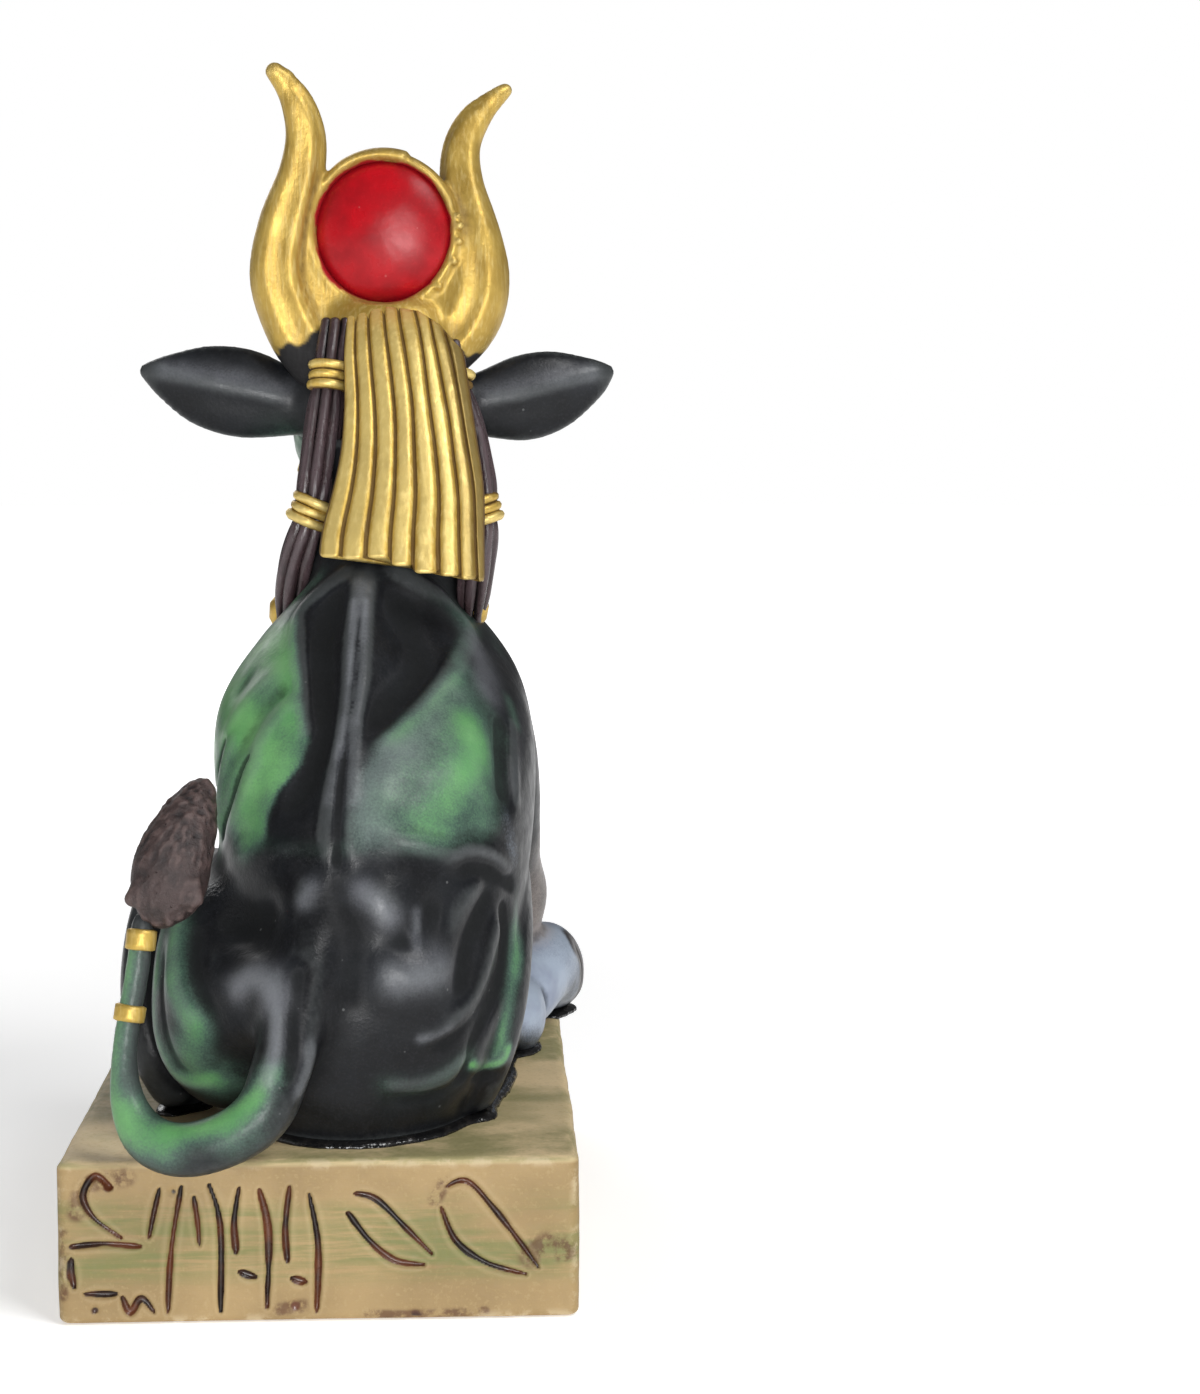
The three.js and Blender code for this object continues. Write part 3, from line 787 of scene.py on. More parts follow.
def body_green(clay, points, thigh_lines):
    """The green that shows through on the flanks, the left thigh and the tail."""
    laid = clay.laid
    thigh_edge, thigh_ridge = thigh_lines
    green = brushed(points, [
        (laid([(-17, 62), (-13, 64), (-10.8, 62.6)]), 3.6, 0.4),
        (laid([(-10.6, 66.4), (-9.8, 61), (-8.6, 57), (-7.2, 54)]), 1.6, 0.5),
        (laid([(-18.6, 56.4), (-14, 53), (-10.8, 50.4), (-8.8, 49.4)]), 3.4, 0.6),
        (laid([(-21, 48), (-20.8, 43), (-18.8, 39)]), 3.2, 0.55),
        (laid([(-12.2, 47), (-13, 41.6), (-13.6, 38.8)]), 3.0, 0.55),
        (laid([(15.4, 54.6), (16.4, 51), (15.4, 48.4)]), 2.8, 0.6),
        (laid([(13.6, 45), (11.6, 43), (12.4, 41.2)]), 2.8, 0.36),
        (laid([(6, 53.4), (9.6, 56.6), (12.8, 60)]), 1.6, 0.3),
        (laid([(20, 56), (20.8, 53)]), 1.6, 0.25),
        (laid([(-7, 72.6), (-10.6, 70)]), 2.0, 0.35),
        (laid([(12, 71), (15, 67), (17, 62)]), 2.4, 0.12),
        (thigh_edge, 1.4, 0.5),
        (thigh_ridge, 2.6, 0.55),
        (laid([(-20.6, 12), (-16, 8), (-11, 7)]), 4.0, 0.45),
        (laid(SEAT_RIDGE), 1.8, 0.18),
        (laid(shifted(SEAT_RIDGE, 0.4, -2)), 2.6, 0.06),
        (laid([(21.4, 30), (21.8, 24), (21.2, 17.6), (19.4, 10.4)]), 1.6, 0.5),
        (laid(HOCK_EDGE), 0.7, 0.8),
        (tail_top(0.95, -0.1, 22, 42), 1.9, 0.75),
        (tail_top(0.35, 0.2, 38, 48), 2.9, 0.85),
        (tail_top(0.3, 0.8, 44, 72), 2.1, 0.6),
        ([(-24, 60, 30), (-22, 66, 45)], 12, 0.5),
    ])
    green *= 1 - brushed(points, [
        (laid(shifted(WAIST_LEFT, 0, -4)), 3.0, 0.9),
        (laid(shifted(WAIST_RIGHT, 0, -4)), 3.0, 0.9),
        (laid(FLANK_LEFT_CREASE), 0.7, 0.5),
    ])
    everywhere = flanks(points) * (0.42 + 0.12 * eased(points[:, 0], -4, -10))
    return (1 - (1 - green) * (1 - everywhere)) * (1 - tent(points))


def body_grey(clay, points):
    """Grey on the muscles, and along the spine over the dark planes: partly dry-brushed paint, partly painted
    highlights and sheen where the satin black would catch the light.
    """
    laid = clay.laid
    drybrush_and_sheen = brushed(points, [
        (laid([(7.2, 52), (4.9, 49.3), (3, 45.7), (4.2, 42.4)]), 3.0, 0.4),
        (laid([(14.5, 64), (16, 61), (16.8, 58)]), 2.8, 0.4),
        (laid([(8.6, 52), (11, 56), (13, 58.4)]), 2.6, 0.25),
        (laid([(-12, 60.6), (-16.4, 57.6)]), 2.6, 0.25),
        (laid([(-11.6, 54.4), (-13, 51)]), 1.4, 0.25),
        (laid(LEFT_HIP), 2.2, 0.7),
        (laid([(-4, 33.2), (-3.2, 35)]), 1.2, 0.4),
        (laid(HAUNCH_OVAL), 1.7, 0.6),
        (laid(HAUNCH_FOLD), 0.7, 0.3),
        (laid(HAUNCH_BROAD[1:]), 2.6, 0.45),
        (laid(THIGH_LINE[:3]), 0.6, 0.35),
        (laid(TAIL_CREST), 1.1, 0.6),
        (laid(TAIL_RIGHT), 0.9, 0.25),
        (laid(WAIST_RIGHT[2:]), 0.6, 0.15),
        (laid([(20.4, 57), (21.4, 51), (21.6, 45)]), 1.4, 0.08),
        (tail_top(0.1, 0.0, 24, 34), 1.0, 0.25),
    ])
    drybrush_and_sheen *= 1 - 0.8 * tent(points)
    # Thin painted highlights along the ridges of the spine.
    spine = brushed(points, [
        (laid([(-0.2, 72.6), (0.1, 69)]), 1.1, 0.3),
        (laid(SPINE_LEFT[:3]), 0.5, 0.35),
        (laid(SPINE_LEFT[:5]), 0.5, 0.35),
        (laid(SPINE_LEFT[3:6]), 0.8, 0.25),
        (laid(SPINE_RIGHT[:2]), 0.5, 0.3),
        (laid(SPINE_RIGHT[:4]), 0.5, 0.3),
        (laid(SPINE_RIGHT[3:]), 0.8, 0.22),
    ])
    return 1 - (1 - drybrush_and_sheen) * (1 - spine)


def body_marks(clay, points, thigh_lines):
    """Where each of the body's paints lies."""
    laid = clay.laid
    hind_feet = both_sides([([(20, 68, 8), (21.5, 78, 11), (22, 84, 9)], 7, 1.0)], HIND_FOOT_PAINT_OUT)
    fore_feet = both_sides([([(17, 76, 12), (15, 80, 4)], 6, 0.8)])
    pale = brushed(points, [
        *hind_feet,
        *fore_feet,
        ([(21.4, 55, 9), (21, 62, 7)], 5.5, 0.95),
        ([(-25, 57, 5), (-26, 62, 6)], 5, 0.9),
        (laid([(20.6, 42), (21.4, 36)]), 3.4, 0.26),
        ([(0, 74, 58), (0, 68, 44), (0, 62, 30), (0, 60, 14)], 11, 0.85),
    ])
    forelegs = both_sides([([(17, 64, 33), (17.4, 70, 24), (17, 75, 14)], 6.5, 0.95)])
    hind_hooves = both_sides([
        ([(25.5, 79, 13), (27.5, 84, 6), (26, 90, 1)], 3.2, 1.0),
        ([(21.8, 92, 6), (21.8, 92, 0)], 4, 1.0),
    ], HIND_FOOT_PAINT_OUT)
    fore_hooves = both_sides([([(14.6, 84, 0), (14.6, 80, -1)], 5, 1.0)])
    rough = brushed(points, [
        (laid([(-17.6, 33), (-16, 31), (-14, 29.8)]), 2.2, 1.0),
        (laid([(-8.6, 38.6), (-3, 38.4)]), 1.0, 0.6),
    ])
    return {
        "green": body_green(clay, points, thigh_lines),
        "drybrush_and_sheen": body_grey(clay, points),
        "pale": pale,
        "taupe": brushed(points, forelegs),
        "hoof": brushed(points, hind_hooves + fore_hooves),
        "rough": rough,
        "crest": clay.crests(points, BODY_CREST_REACH),
    }


# Head

SKULL = [
    (1, 53, 100.4, 11, 10),
    (1, 57.5, 98.8, 12.4, 11.4),
    (1, 62, 95.6, 12.4, 12),
    (1, 69.5, 91.4, 10.4, 10.2),
    (1, 76.5, 88, 8.8, 8.6),
    (1, 83, 85.4, 8.8, 7.9),
    (1, 86.6, 84.2, 7.6, 6.4),
]
LEFT_EAR = [
    (-9, 53, 97, 3.5, 3.2),
    (-14, 52.4, 97.4, 5, 2.8),
    (-20, 51.6, 98.6, 6.4, 2.6),
    (-26, 51, 99.8, 5.8, 2.4),
    (-31, 51, 101, 3.4, 1.9),
    (-34.2, 51.2, 101.8, 1.1, 1),
]
RIGHT_EAR = [
    (11, 55, 97, 3.5, 3.2),
    (15, 56, 97.2, 5, 2.8),
    (20, 57, 98, 6.2, 2.6),
    (25, 58.4, 99.4, 5.6, 2.4),
    (29.6, 59.8, 100.8, 3.2, 1.9),
    (32, 60.6, 101.8, 1.1, 1),
]
WIG = [
    (3, 50, 101.5, 7, 6),
    (4.4, 45, 96, 8, 6),
    (5, 41, 90, 8.6, 6),
    (5.2, 39, 84, 9, 5.6),
    (5, 38.6, 79.6, 8.4, 4.6),
]
WIG_GROOVES = 9
EYE = (11.6, 66.5, 98.5)
EYE_RADIUS = 2.5


def both_cheeks(points):
    """Stations of the head on both sides, turned with it."""
    across = 2 * NECK_AXIS[0]
    other = [(across - station[0], *station[1:]) for station in points]
    return [with_head(points), with_head(other)]


def press_wig(clay):
    """Fine grooves between the locks that hang down under the headcloth."""
    for k in range(WIG_GROOVES):
        turn = math.pi * (k / (WIG_GROOVES - 1) - 0.5) * 1.2
        groove = []
        for x, y, z, half, deep in WIG:
            groove.append((x + half * math.sin(turn), y - deep * math.cos(turn), z))
        clay.stroke(groove, 0.5, -0.6)


def head_clay():
    clay = Clay((-38, 28, 68), (36, 94, 114), HEAD_CELL)
    straight = with_head([(NECK_AXIS[0] + 1, NECK_AXIS[1], 0)])[0] - (*NECK_AXIS, 0)
    clay.limb([tuple(row) for row in with_head(SKULL)], soft=1, across=straight)
    clay.limb(WIG, soft=1.5)
    press_wig(clay)
    for brow in both_cheeks([(9, 62, 103.4), (11.6, 66, 102.4), (12, 70, 99.6)]):
        clay.stroke(brow, 2.2, 1.5)
    for socket in both_cheeks([EYE]):
        clay.ball(socket[0], (3.3, 3.3, 3.0), 1.4, hollow=True)
        clay.ball(socket[0] - (0, 0.4, 0), (EYE_RADIUS + 0.6,) * 3, 0.8)
    for cheek in both_cheeks([(12.6, 60, 92), (11, 67, 87), (9, 73, 84)]):
        clay.stroke(cheek, 3.4, 0.9)
    for nostril in both_cheeks([(4.4, 90.6, 88), (6.4, 88.6, 87.4), (7.4, 87.4, 85.6)]):
        clay.stroke(nostril, 1.2, -1.9)
    for lip in both_cheeks([(1, 92, 80.4), (6, 88.6, 80.6), (9.6, 82, 82), (10.6, 76, 83.4)]):
        clay.stroke(lip, 0.8, -1.2)
    for nose in both_cheeks([(4, 66, 102.6), (3.6, 74, 97), (3.6, 82, 93)]):
        clay.stroke(nose, 2.4, 0.5)
    for ear in (LEFT_EAR, RIGHT_EAR):
        clay.limb(ear, soft=2.2, across=UPWARD)
        middle = [(x, y - thick - 0.1, z + 0.6) for x, y, z, tall, thick in ear[1:]]
        inside = [(x, y + thick + 0.8, z - 0.4, tall * 0.66, 1.7) for x, y, z, tall, thick in ear[1:5]]
        clay.stroke(middle, 1.5, 0.5)
        clay.limb(inside, soft=1.0, across=UPWARD, hollow=True)
    return clay


def head_marks(clay, points):
    pale = brushed(points, [
        (with_head([(1, 78, 88), (1, 88, 84)]), 8.5, 1.0),
        (with_head([(1, 66, 102), (1, 76, 95)]), 4, 0.7),
    ])
    green = brushed(points, [
        ([(-15, 56, 92), (-15.6, 64, 88)], 5, 0.6),
        ([(14, 62, 90), (12, 70, 88)], 5, 0.4),
    ])
    inside = brushed(points, [
        ([(x, y + 2.4, z) for x, y, z, _, _ in LEFT_EAR[1:5]], 2.6, 0.9),
        ([(x, y + 2.4, z) for x, y, z, _, _ in RIGHT_EAR[1:5]], 2.6, 0.9),
    ])
    # Painted highlights along the upper edges of the ears.
    highlights = []
    for ear in (LEFT_EAR, RIGHT_EAR):
        upper = [(x, y - thick, z + 0.3 * tall) for x, y, z, tall, thick in ear[1:5]]
        highlights.append((upper, 1.5, 0.32))
    nose = brushed(points, [
        (with_head([(1, 92, 88), (1, 93, 84)]), 4.6, 0.9),
        ([station[:3] for station in WIG], 8, 1.0),
    ])
    return {
        "green": green,
        "drybrush_and_sheen": brushed(points, highlights),
        "pale": pale,
        "taupe": inside,
        "hoof": nose,
        "crest": clay.crests(points, 1.0),
    }


# Crown

LEFT_HORN = [
    (-9, 51, 103.6, 4.6, 4.6),
    (-11.8, 50.6, 108, 4.8, 5),
    (-14.2, 50.2, 115, 4.5, 4.8),
    (-13.4, 50, 122, 4.1, 4.4),
    (-11, 49.6, 129.6, 3.3, 3.8),
    (-10.3, 49, 135.4, 2.8, 3.2),
    (-11.6, 48.4, 140.2, 2.2, 2.6),
    (-14.3, 48, 143.8, 1.4, 1.6),
]
RIGHT_HORN = [
    (6.8, 52.6, 103.4, 4.5, 4.6),
    (12.2, 52.8, 108.7, 4.5, 5),
    (14.2, 53, 115, 4.2, 4.8),
    (13, 53.4, 122, 3.8, 4.4),
    (11.4, 54, 128.6, 3.2, 3.8),
    (11.4, 54.6, 134, 2.7, 3.2),
    (13.6, 55.2, 138.4, 2.2, 2.5),
    (17.6, 56.2, 142, 1.0, 1.1),
]
FLUTES = ((2, 1.5, 1.15), (58, 1.0, 0.5), (178, 1.6, 0.8))
WEBS = ((-7.6, 50.8, 113.4), (9.4, 52.2, 113.4))
RIM_BITS = ((79, 0.45), (86, 0.6), (97, 0.5), (112, 0.45), (133, 0.4))
RIM_BITS_OUT = 0.75
RIM_BITS_BACK = 1.7
GOLD_EDGE = (
    # x, and the height there at which the gold ends
    (-22, 105.4),
    (-14.6, 104.7),
    (-9.9, 106.4),
    (-7, 108.6),
    (-5, 106),
    (8, 106),
    (11, 106.4),
    (12.4, 104.4),
    (22, 104),
)


def horn_line(horn, angle):
    """A line up the horn's skin, at an angle from straight back towards the cow's right."""
    rows = smoothed(horn, 14)[1:-1]
    turn = math.radians(angle)
    side = rows[:, 3] * math.sin(turn)
    back = rows[:, 4] * math.cos(turn)
    return np.stack([rows[:, 0] + side, rows[:, 1] - back, rows[:, 2]], axis=1)


def rim_distance(places):
    """Distance to the disc's rim, which thickens to a step at its top."""
    x, y, z = [places[i] - DISC_CENTRE[i] for i in range(3)]
    angle = np.arctan2(x, z)
    step = eased(angle, -1.1, -0.5) * (1 - eased(angle, 0.28, 0.36))
    out = np.sqrt(x * x + (z / DISC_HIGH) ** 2) - RIM_RADIUS - 0.2 * step
    return np.sqrt(out**2 + (y / 2.4) ** 2 + TINY) - RIM_TUBE * (0.92 + 0.3 * step)


def crown_clay():
    clay = Clay((-22, 42, 97), (22, 62, 148), CROWN_CELL)
    for horn in (LEFT_HORN, RIGHT_HORN):
        clay.limb(horn, soft=1.2, count=40)
    for horn, handed in ((LEFT_HORN, 1), (RIGHT_HORN, -1)):
        for angle, width, depth in FLUTES:
            clay.stroke(horn_line(horn, handed * angle), width, -depth)
    clay.ball((1, 50.5, 107.5), (9, 6, 6), 1.6)
    for web in WEBS:
        clay.ball(web, (4.6, 2.7, 9.4), 2.2)
    clay.ball((0.6, 52.6, 113), (13.6, 3, 9.6), 1.0)
    clay.ball(DISC_CENTRE, (RIM_RADIUS - 0.5, 40, RIM_RADIUS), 0.3, hollow=True)
    part, places = clay.whole()
    clay.join(part, rim_distance(places).astype(np.float32), 0.8)
    add_rim_bits(clay)
    points = np.stack(places, axis=-1)
    clay.field += (0.05 * lumps(points, 3.2, 5)).astype(np.float32)
    tips = eased(places[2], 140, 143.5)
    clay.field += (0.14 * tips * lumps(points, 1.5, 6)).astype(np.float32)
    return clay


def add_rim_bits(clay):
    """Small bits of flash left standing along the rim's right side."""
    out = RIM_RADIUS + RIM_BITS_OUT
    for angle, radius in RIM_BITS:
        turn = math.radians(angle)
        beside = np.array([out * math.sin(turn), -RIM_BITS_BACK, out * DISC_HIGH * math.cos(turn)])
        clay.ball(beside + DISC_CENTRE, (radius, radius, radius), 0.4)


def enamel_slop(points):
    """Red enamel that ran unevenly onto the inner edge of the rim."""
    x, y, z = (points - DISC_CENTRE).T
    out = np.hypot(x, z / DISC_HIGH) - RIM_RADIUS + 0.55
    ragged = 0.35 * lumps(points, 1.9, 9) + 0.12 * lumps(points, 0.7, 10)
    return eased(ragged - out, -0.12, 0.12) * eased(-y, -0.6, 0)


def crown():
    clay = crown_clay()
    points, faces = clay.skinned()
    edge = np.interp(points[:, 0], *zip(*GOLD_EDGE)) + 0.8 * lumps(points, 1.6, 7)
    marks = {
        "crest": 0.5 * clay.crests(points, 0.9),
        "bare": 1 - eased(points[:, 2] - edge, -0.3, 0.3),
        "shade": 0.36 + 0.18 * lumps(points, 5, 8),
        "slop": enamel_slop(points),
    }
    made = piece("crown", to_object(points), faces, gold_paint(), marks)
    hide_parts("cow")


def sun_disc():
    """A domed disc of red enamel held in the rim, slightly uneven by hand."""
    rings = []
    angles = np.linspace(0, 2 * np.pi, DISC_SIDES, endpoint=False)
    for k in range(1, DISC_STEPS):
        lean = math.pi * k / DISC_STEPS
        radius = (DISC_RADIUS - 0.1) * math.sin(lean)
        ring = np.stack([
            DISC_CENTRE[0] + radius * np.cos(angles),
            np.full(DISC_SIDES, DISC_CENTRE[1] - (DISC_DOME + 0.1) * math.cos(lean)),
            DISC_CENTRE[2] + radius * DISC_HIGH * np.sin(angles),
        ], axis=1)
        rings.append(ring)
    points, faces = loft(rings)
    points[:, 1] += 0.12 * lumps(points, 4.5, 11) + 0.03 * lumps(points, 1.2, 12)
    place = (points - np.array(DISC_CENTRE)) / DISC_RADIUS
    # The outer ring of the disc, which the paint darkens towards the rim as painted shade.
    edge = eased(np.hypot(place[:, 0], place[:, 2]), 0.86, 1.0)
    faces = facing_list(points, faces)
    piece("sun_disc", to_object(points), faces, red_enamel(), {"edge": edge})


def facing_list(points, faces):
    """Faces of mixed size, turned so that they look outward."""
    volume = 0.0
    for face in faces[:: max(len(faces) // 4000, 1)]:
        a, b, c = points[face[0]], points[face[1]], points[face[2]]
        volume += np.dot(a - points.mean(axis=0), np.cross(b - a, c - a))
    return [face[::-1] for face in faces] if volume < 0 else faces


# Headcloth

CLOTH = [
    # height, middle x, rear y, half width
    (113.4, 2.2, 48.4, 6.4),
    (111.6, 2.6, 46.6, 7.1),
    (109.4, 3.2, 44, 7.6),
    (106.8, 3.8, 41.6, 8),
    (103.6, 4.4, 39.4, 8.4),
    (97.4, 5.3, 36.3, 8.8),
    (91.2, 5.8, 33.7, 9.5),
    (85.1, 5.8, 31.4, 10.4),
    (79, 5.3, 29.2, 11.2),
    (73, 5.2, 27.2, 11.6),
    (71, 5.2, 26.6, 11.6),
]
PLEATS_AT_TOP = (0, 0.1, 0.22, 0.375, 0.515, 0.67, 0.79, 0.9, 1)
PLEATS_AT_FOOT = (0, 0.145, 0.3, 0.45, 0.59, 0.74, 0.865, 0.965, 1)
PLEAT_FOOT = (76.2, 76, 76.2, 75.2, 74.2, 73.8, 73.3, 73)
CLOTH_TOP = ((0, 111), (0.3, 111.1), (0.7, 110.2), (0.86, 108.2), (1, 104.6))
PLEAT_STEPS = 16
PLEAT_FLATNESS = 3.6
CLOTH_ROWS = 72
CLOTH_BULGE = 2.4
CLOTH_THICK = 1.7


def pleat_columns(edges):
    """Shares across the cloth at one end of it, with one column at each step of each pleat."""
    shares = []
    for start, end in zip(edges, edges[1:]):
        shares.extend(np.linspace(start, end, PLEAT_STEPS, endpoint=False))
    return np.array([*shares, 1.0])


def cloth_columns():
    """The lift of the cloth over each column and the height at which the column ends."""
    lift = []
    foot = []
    for height in PLEAT_FOOT:
        for s in np.linspace(0, 1, PLEAT_STEPS, endpoint=False):
            lift.append(1 - abs(2 * s - 1) ** PLEAT_FLATNESS)
            foot.append(height + 0.6 * abs(2 * s - 1) ** 6)
    return np.array([*lift, 0.0]), np.array([*foot, PLEAT_FOOT[-1] + 0.6])


def headcloth():
    """The pleated cloth: two skins with flat-topped pleats and an open, stepped foot."""
    at_top = pleat_columns(PLEATS_AT_TOP)
    at_foot = pleat_columns(PLEATS_AT_FOOT)
    lift, foot = cloth_columns()
    heights, middles, rears, halves = smoothed(CLOTH, 60)[::-1].T
    top = np.interp(at_top, *zip(*CLOTH_TOP))
    outer = []
    inner = []
    for k in range(CLOTH_ROWS + 1):
        t = k / CLOTH_ROWS
        height = top + (foot - top) * t
        side = 2 * (at_top + (at_foot - at_top) * t) - 1
        back = np.interp(height, heights, rears) + CLOTH_BULGE * side**2
        x = np.interp(height, heights, middles) + np.interp(height, heights, halves) * side
        proud = (0.75 + 0.2 * t) * lift - 0.35 - 1.1 * eased(side, 0.86, 1.0)
        outer.append(np.stack([x, back - proud, height], axis=1))
        inner.append(np.stack([x, back + CLOTH_THICK, height], axis=1))
    under = (outer[-1] + inner[-1]) / 2 - (0, 0, 0.15)
    rings = [np.concatenate([inner[0] - (0, 0.3, 0), (inner[0] - (0, 0.29, 0))[::-1]])]
    rings += [np.concatenate([o, i[::-1]]) for o, i in zip(outer, inner)]
    rings.append(np.concatenate([under, (under + (0, 0.01, 0))[::-1]]))
    points, faces = loft(rings)
    points[:, 1] += 0.16 * lumps(points, (3, 3, 9), 21) + 0.05 * lumps(points, 1.3, 22)
    points[:, 0] += 0.2 * lumps(points, (3, 6, 14), 23)
    # Pleat tops carry the gold's painted highlight and the grooves its brown wash.
    wave = np.clip(np.concatenate([lift, np.zeros(len(lift))]) * 2.7 - 1.9, -1, 0.8)
    turned = np.concatenate([at_foot, at_foot[::-1]])
    marks = {
        "crest": np.concatenate([np.tile(wave, len(rings)), [0, 0]]),
        "shade": eased(np.concatenate([np.tile(turned, len(rings)), [0, 0]]), 0.86, 0.97),
    }
    piece("headcloth", to_object(points), facing_list(points, faces), gold_paint(), marks)


# Braids and gold bands

LEFT_BRAID = [
    (-5.8, 47.2, 108.8, 2.4, 2.4),
    (-6.3, 44.4, 103, 2.6, 2.6),
    (-7.6, 42.4, 91, 2.8, 2.8),
    (-8.6, 40.8, 82, 2.8, 2.8),
    (-11, 42, 74, 2.9, 2.9),
    (-12.8, 45, 65.8, 2.4, 2.4),
]
RIGHT_BRAID = [
    (9.6, 49, 105.8, 2.3, 2.3),
    (10.6, 47.6, 101, 2.5, 2.5),
    (13.5, 46.6, 91, 2.6, 2.6),
    (14.7, 46, 82, 2.7, 2.7),
    (13.9, 47.2, 74, 2.8, 2.8),
    (12.8, 50, 65.8, 2.2, 2.2),
]
LAPPET = [
    (9.4, 57, 91, 3, 3),
    (10.4, 61, 83, 3, 3),
    (10.8, 65.4, 75, 2.9, 2.9),
    (10, 69.6, 66, 2.6, 2.6),
]
STRANDS = 7
STRAND_SHARE = 0.32
TIP_FORWARD = 1.4
BAND_RINGS = 3
BAND_HALF = 0.74
BAND_SIDES = 40
BAND_PROFILE = 10
TAIL_BAND_ROWS = ((119, 123), (137, 141))


def strands(stations, cinches, count=72):
    """Round locks side by side round a bundle, drawn in where bands hold them."""
    rows = smoothed(stations, count)
    place = np.linspace(0, 1, count + 1)
    pinch = np.ones(count + 1)
    for cinch in cinches:
        pinch -= 0.16 * np.exp(-(((place - cinch) / 0.05) ** 2))
    parts = []
    for k in range(STRANDS):
        angle = 2 * math.pi * k / STRANDS + 0.16 * np.sin(5 * place + k)
        spread = rows[:, 3] * (1 - STRAND_SHARE) * pinch
        lock = rows.copy()
        lock[:, 0] += spread * np.sin(angle)
        lock[:, 1] -= spread * np.cos(angle)
        thick = rows[:, 3] * STRAND_SHARE * pinch * (1 + 0.05 * np.sin(31 * place + 2.1 * k))
        lock[:, 3] = thick
        lock[:, 4] = thick
        parts.append(tube(lock, 14))
    return merged(parts)


def standing_out(points, stations, inner, outer):
    """-1 at a share `inner` of a bundle's radius from its middle, rising to 1 at `outer`."""
    rows = smoothed(stations, 60)
    square, place = to_path([points[:, i].astype(np.float32) for i in range(3)], rows[:, :3])
    radius = np.interp(place, np.linspace(0, 1, len(rows)), rows[:, 3])
    share = np.sqrt(square) / radius
    return np.clip(2 * (share - inner) / (outer - inner) - 1, -1, 1)


def banding(stations, share, lift=0.3, tilt=0.0):
    """Gold rings wound round a bundle, at one share of its length."""
    rows = smoothed(stations, 200)
    at = int(round(share * 200))
    run = rows[min(at + 3, 200), :3] - rows[max(at - 3, 0), :3]
    along = run / np.linalg.norm(run)
    side = np.array([1.0, 0, tilt])
    v = np.cross(along, side)
    v /= np.linalg.norm(v)
    u = side / np.linalg.norm(side)
    along = np.cross(u, v)
    parts = []
    for k in range(BAND_RINGS):
        centre = rows[at, :3] + along * (k - 1) * 2 * BAND_HALF * 0.94
        points, faces = ring_round(centre, (u, v, along), rows[at, 3] + lift - 0.12 * (k % 2), k)
        points += 0.07 * lumps(points, 1.3, 31 + k)[:, None]
        parts.append((points, facing_list(points, faces)))
    return merged(parts)


def ring_round(centre, axes, radius, seed):
    """One uneven ring of rounded section round a centre."""
    u, v, along = axes
    points = []
    faces = []
    for i in range(BAND_SIDES):
        turn = 2 * math.pi * i / BAND_SIDES
        out = math.cos(turn) * u + math.sin(turn) * v
        thick = 0.8 + 0.08 * math.sin(3 * turn + 2 * seed)
        after = (i + 1) % BAND_SIDES
        for j in range(BAND_PROFILE):
            lean = 2 * math.pi * j / BAND_PROFILE
            beside = (j + 1) % BAND_PROFILE
            reach = radius - 0.5 + thick * math.cos(lean)
            points.append(centre + out * reach + along * BAND_HALF * math.sin(lean))
            corners = [(i, j), (after, j), (after, beside), (i, beside)]
            faces.append(tuple(a * BAND_PROFILE + b for a, b in corners))
    return np.array(points), faces


def tip(stations, across):
    """The gold cap under the end of a bundle, set off to one side of it."""
    rows = smoothed(stations, 40)[-4:]
    rows[:, 0] += across
    rows[:, 1] += TIP_FORWARD
    rows[-1, 3:] *= 0.85
    return tube(rows, 24)


def braids():
    bundles = [(LEFT_BRAID, (0.24, 0.6, 0.97), 72), (RIGHT_BRAID, (0.22, 0.6, 0.97), 72)]
    bundles += [(LAPPET, (0.2, 0.9), 40), (mirrored(LAPPET), (0.2, 0.9), 40)]
    parts = [strands(*bundle) for bundle in bundles]
    # The crest mark runs from -1 where the locks face in and press together to 1 on their outsides, where the
    # paint puts painted shade and painted highlights.
    crest = [standing_out(part[0], bundle[0], 0.66, 1.02) for part, bundle in zip(parts, bundles)]
    points, faces = merged(parts)
    marks = {"crest": np.concatenate(crest)}
    piece("braids", to_object(points), faces, braid_paint(), marks)


def gold_bands():
    wound = [(LEFT_BRAID, 0.24, 0.15, -0.06), (LEFT_BRAID, 0.6, 0.35, -0.42)]
    wound += [(RIGHT_BRAID, 0.22, 0.1, -0.2), (RIGHT_BRAID, 0.6, 0.2, 0.3)]
    for lappet in (LAPPET, mirrored(LAPPET)):
        wound += [(lappet, 0.2), (lappet, 0.88)]
    parts = [banding(*some) for some in wound]
    # Bands are painted darker where they sit on the locks and paler on their outsides: painted shade and
    # painted highlights.
    crest = [standing_out(part[0], some[0], 0.98, 1.2) for part, some in zip(parts, wound)]
    capped = ((LEFT_BRAID, -0.8), (RIGHT_BRAID, -0.1), (LAPPET, 0), (mirrored(LAPPET), 0))
    for bundle, across in capped:
        cap = tip(bundle, across)
        parts.append(cap)
        crest.append(0.4 * lumps(cap[0], 0.8, 45))
    points, faces = merged(parts)
    marks = {"crest": np.concatenate(crest)}
    piece("braid_bands", to_object(points), faces, gold_paint(), marks)


def tail_bands():
    rows = smoothed(TAIL, 144)
    parts = []
    for start, end in TAIL_BAND_ROWS:
        some = rows[start : end + 1].copy()
        some[:, 3:] += 0.3
        parts.append(tube(some, 28, FORWARD, cap=0.12))
    points, faces = merged(parts)
    points += 0.05 * lumps(points, 1.2, 41)[:, None]
    piece("tail_bands", to_object(points), faces, gold_paint())


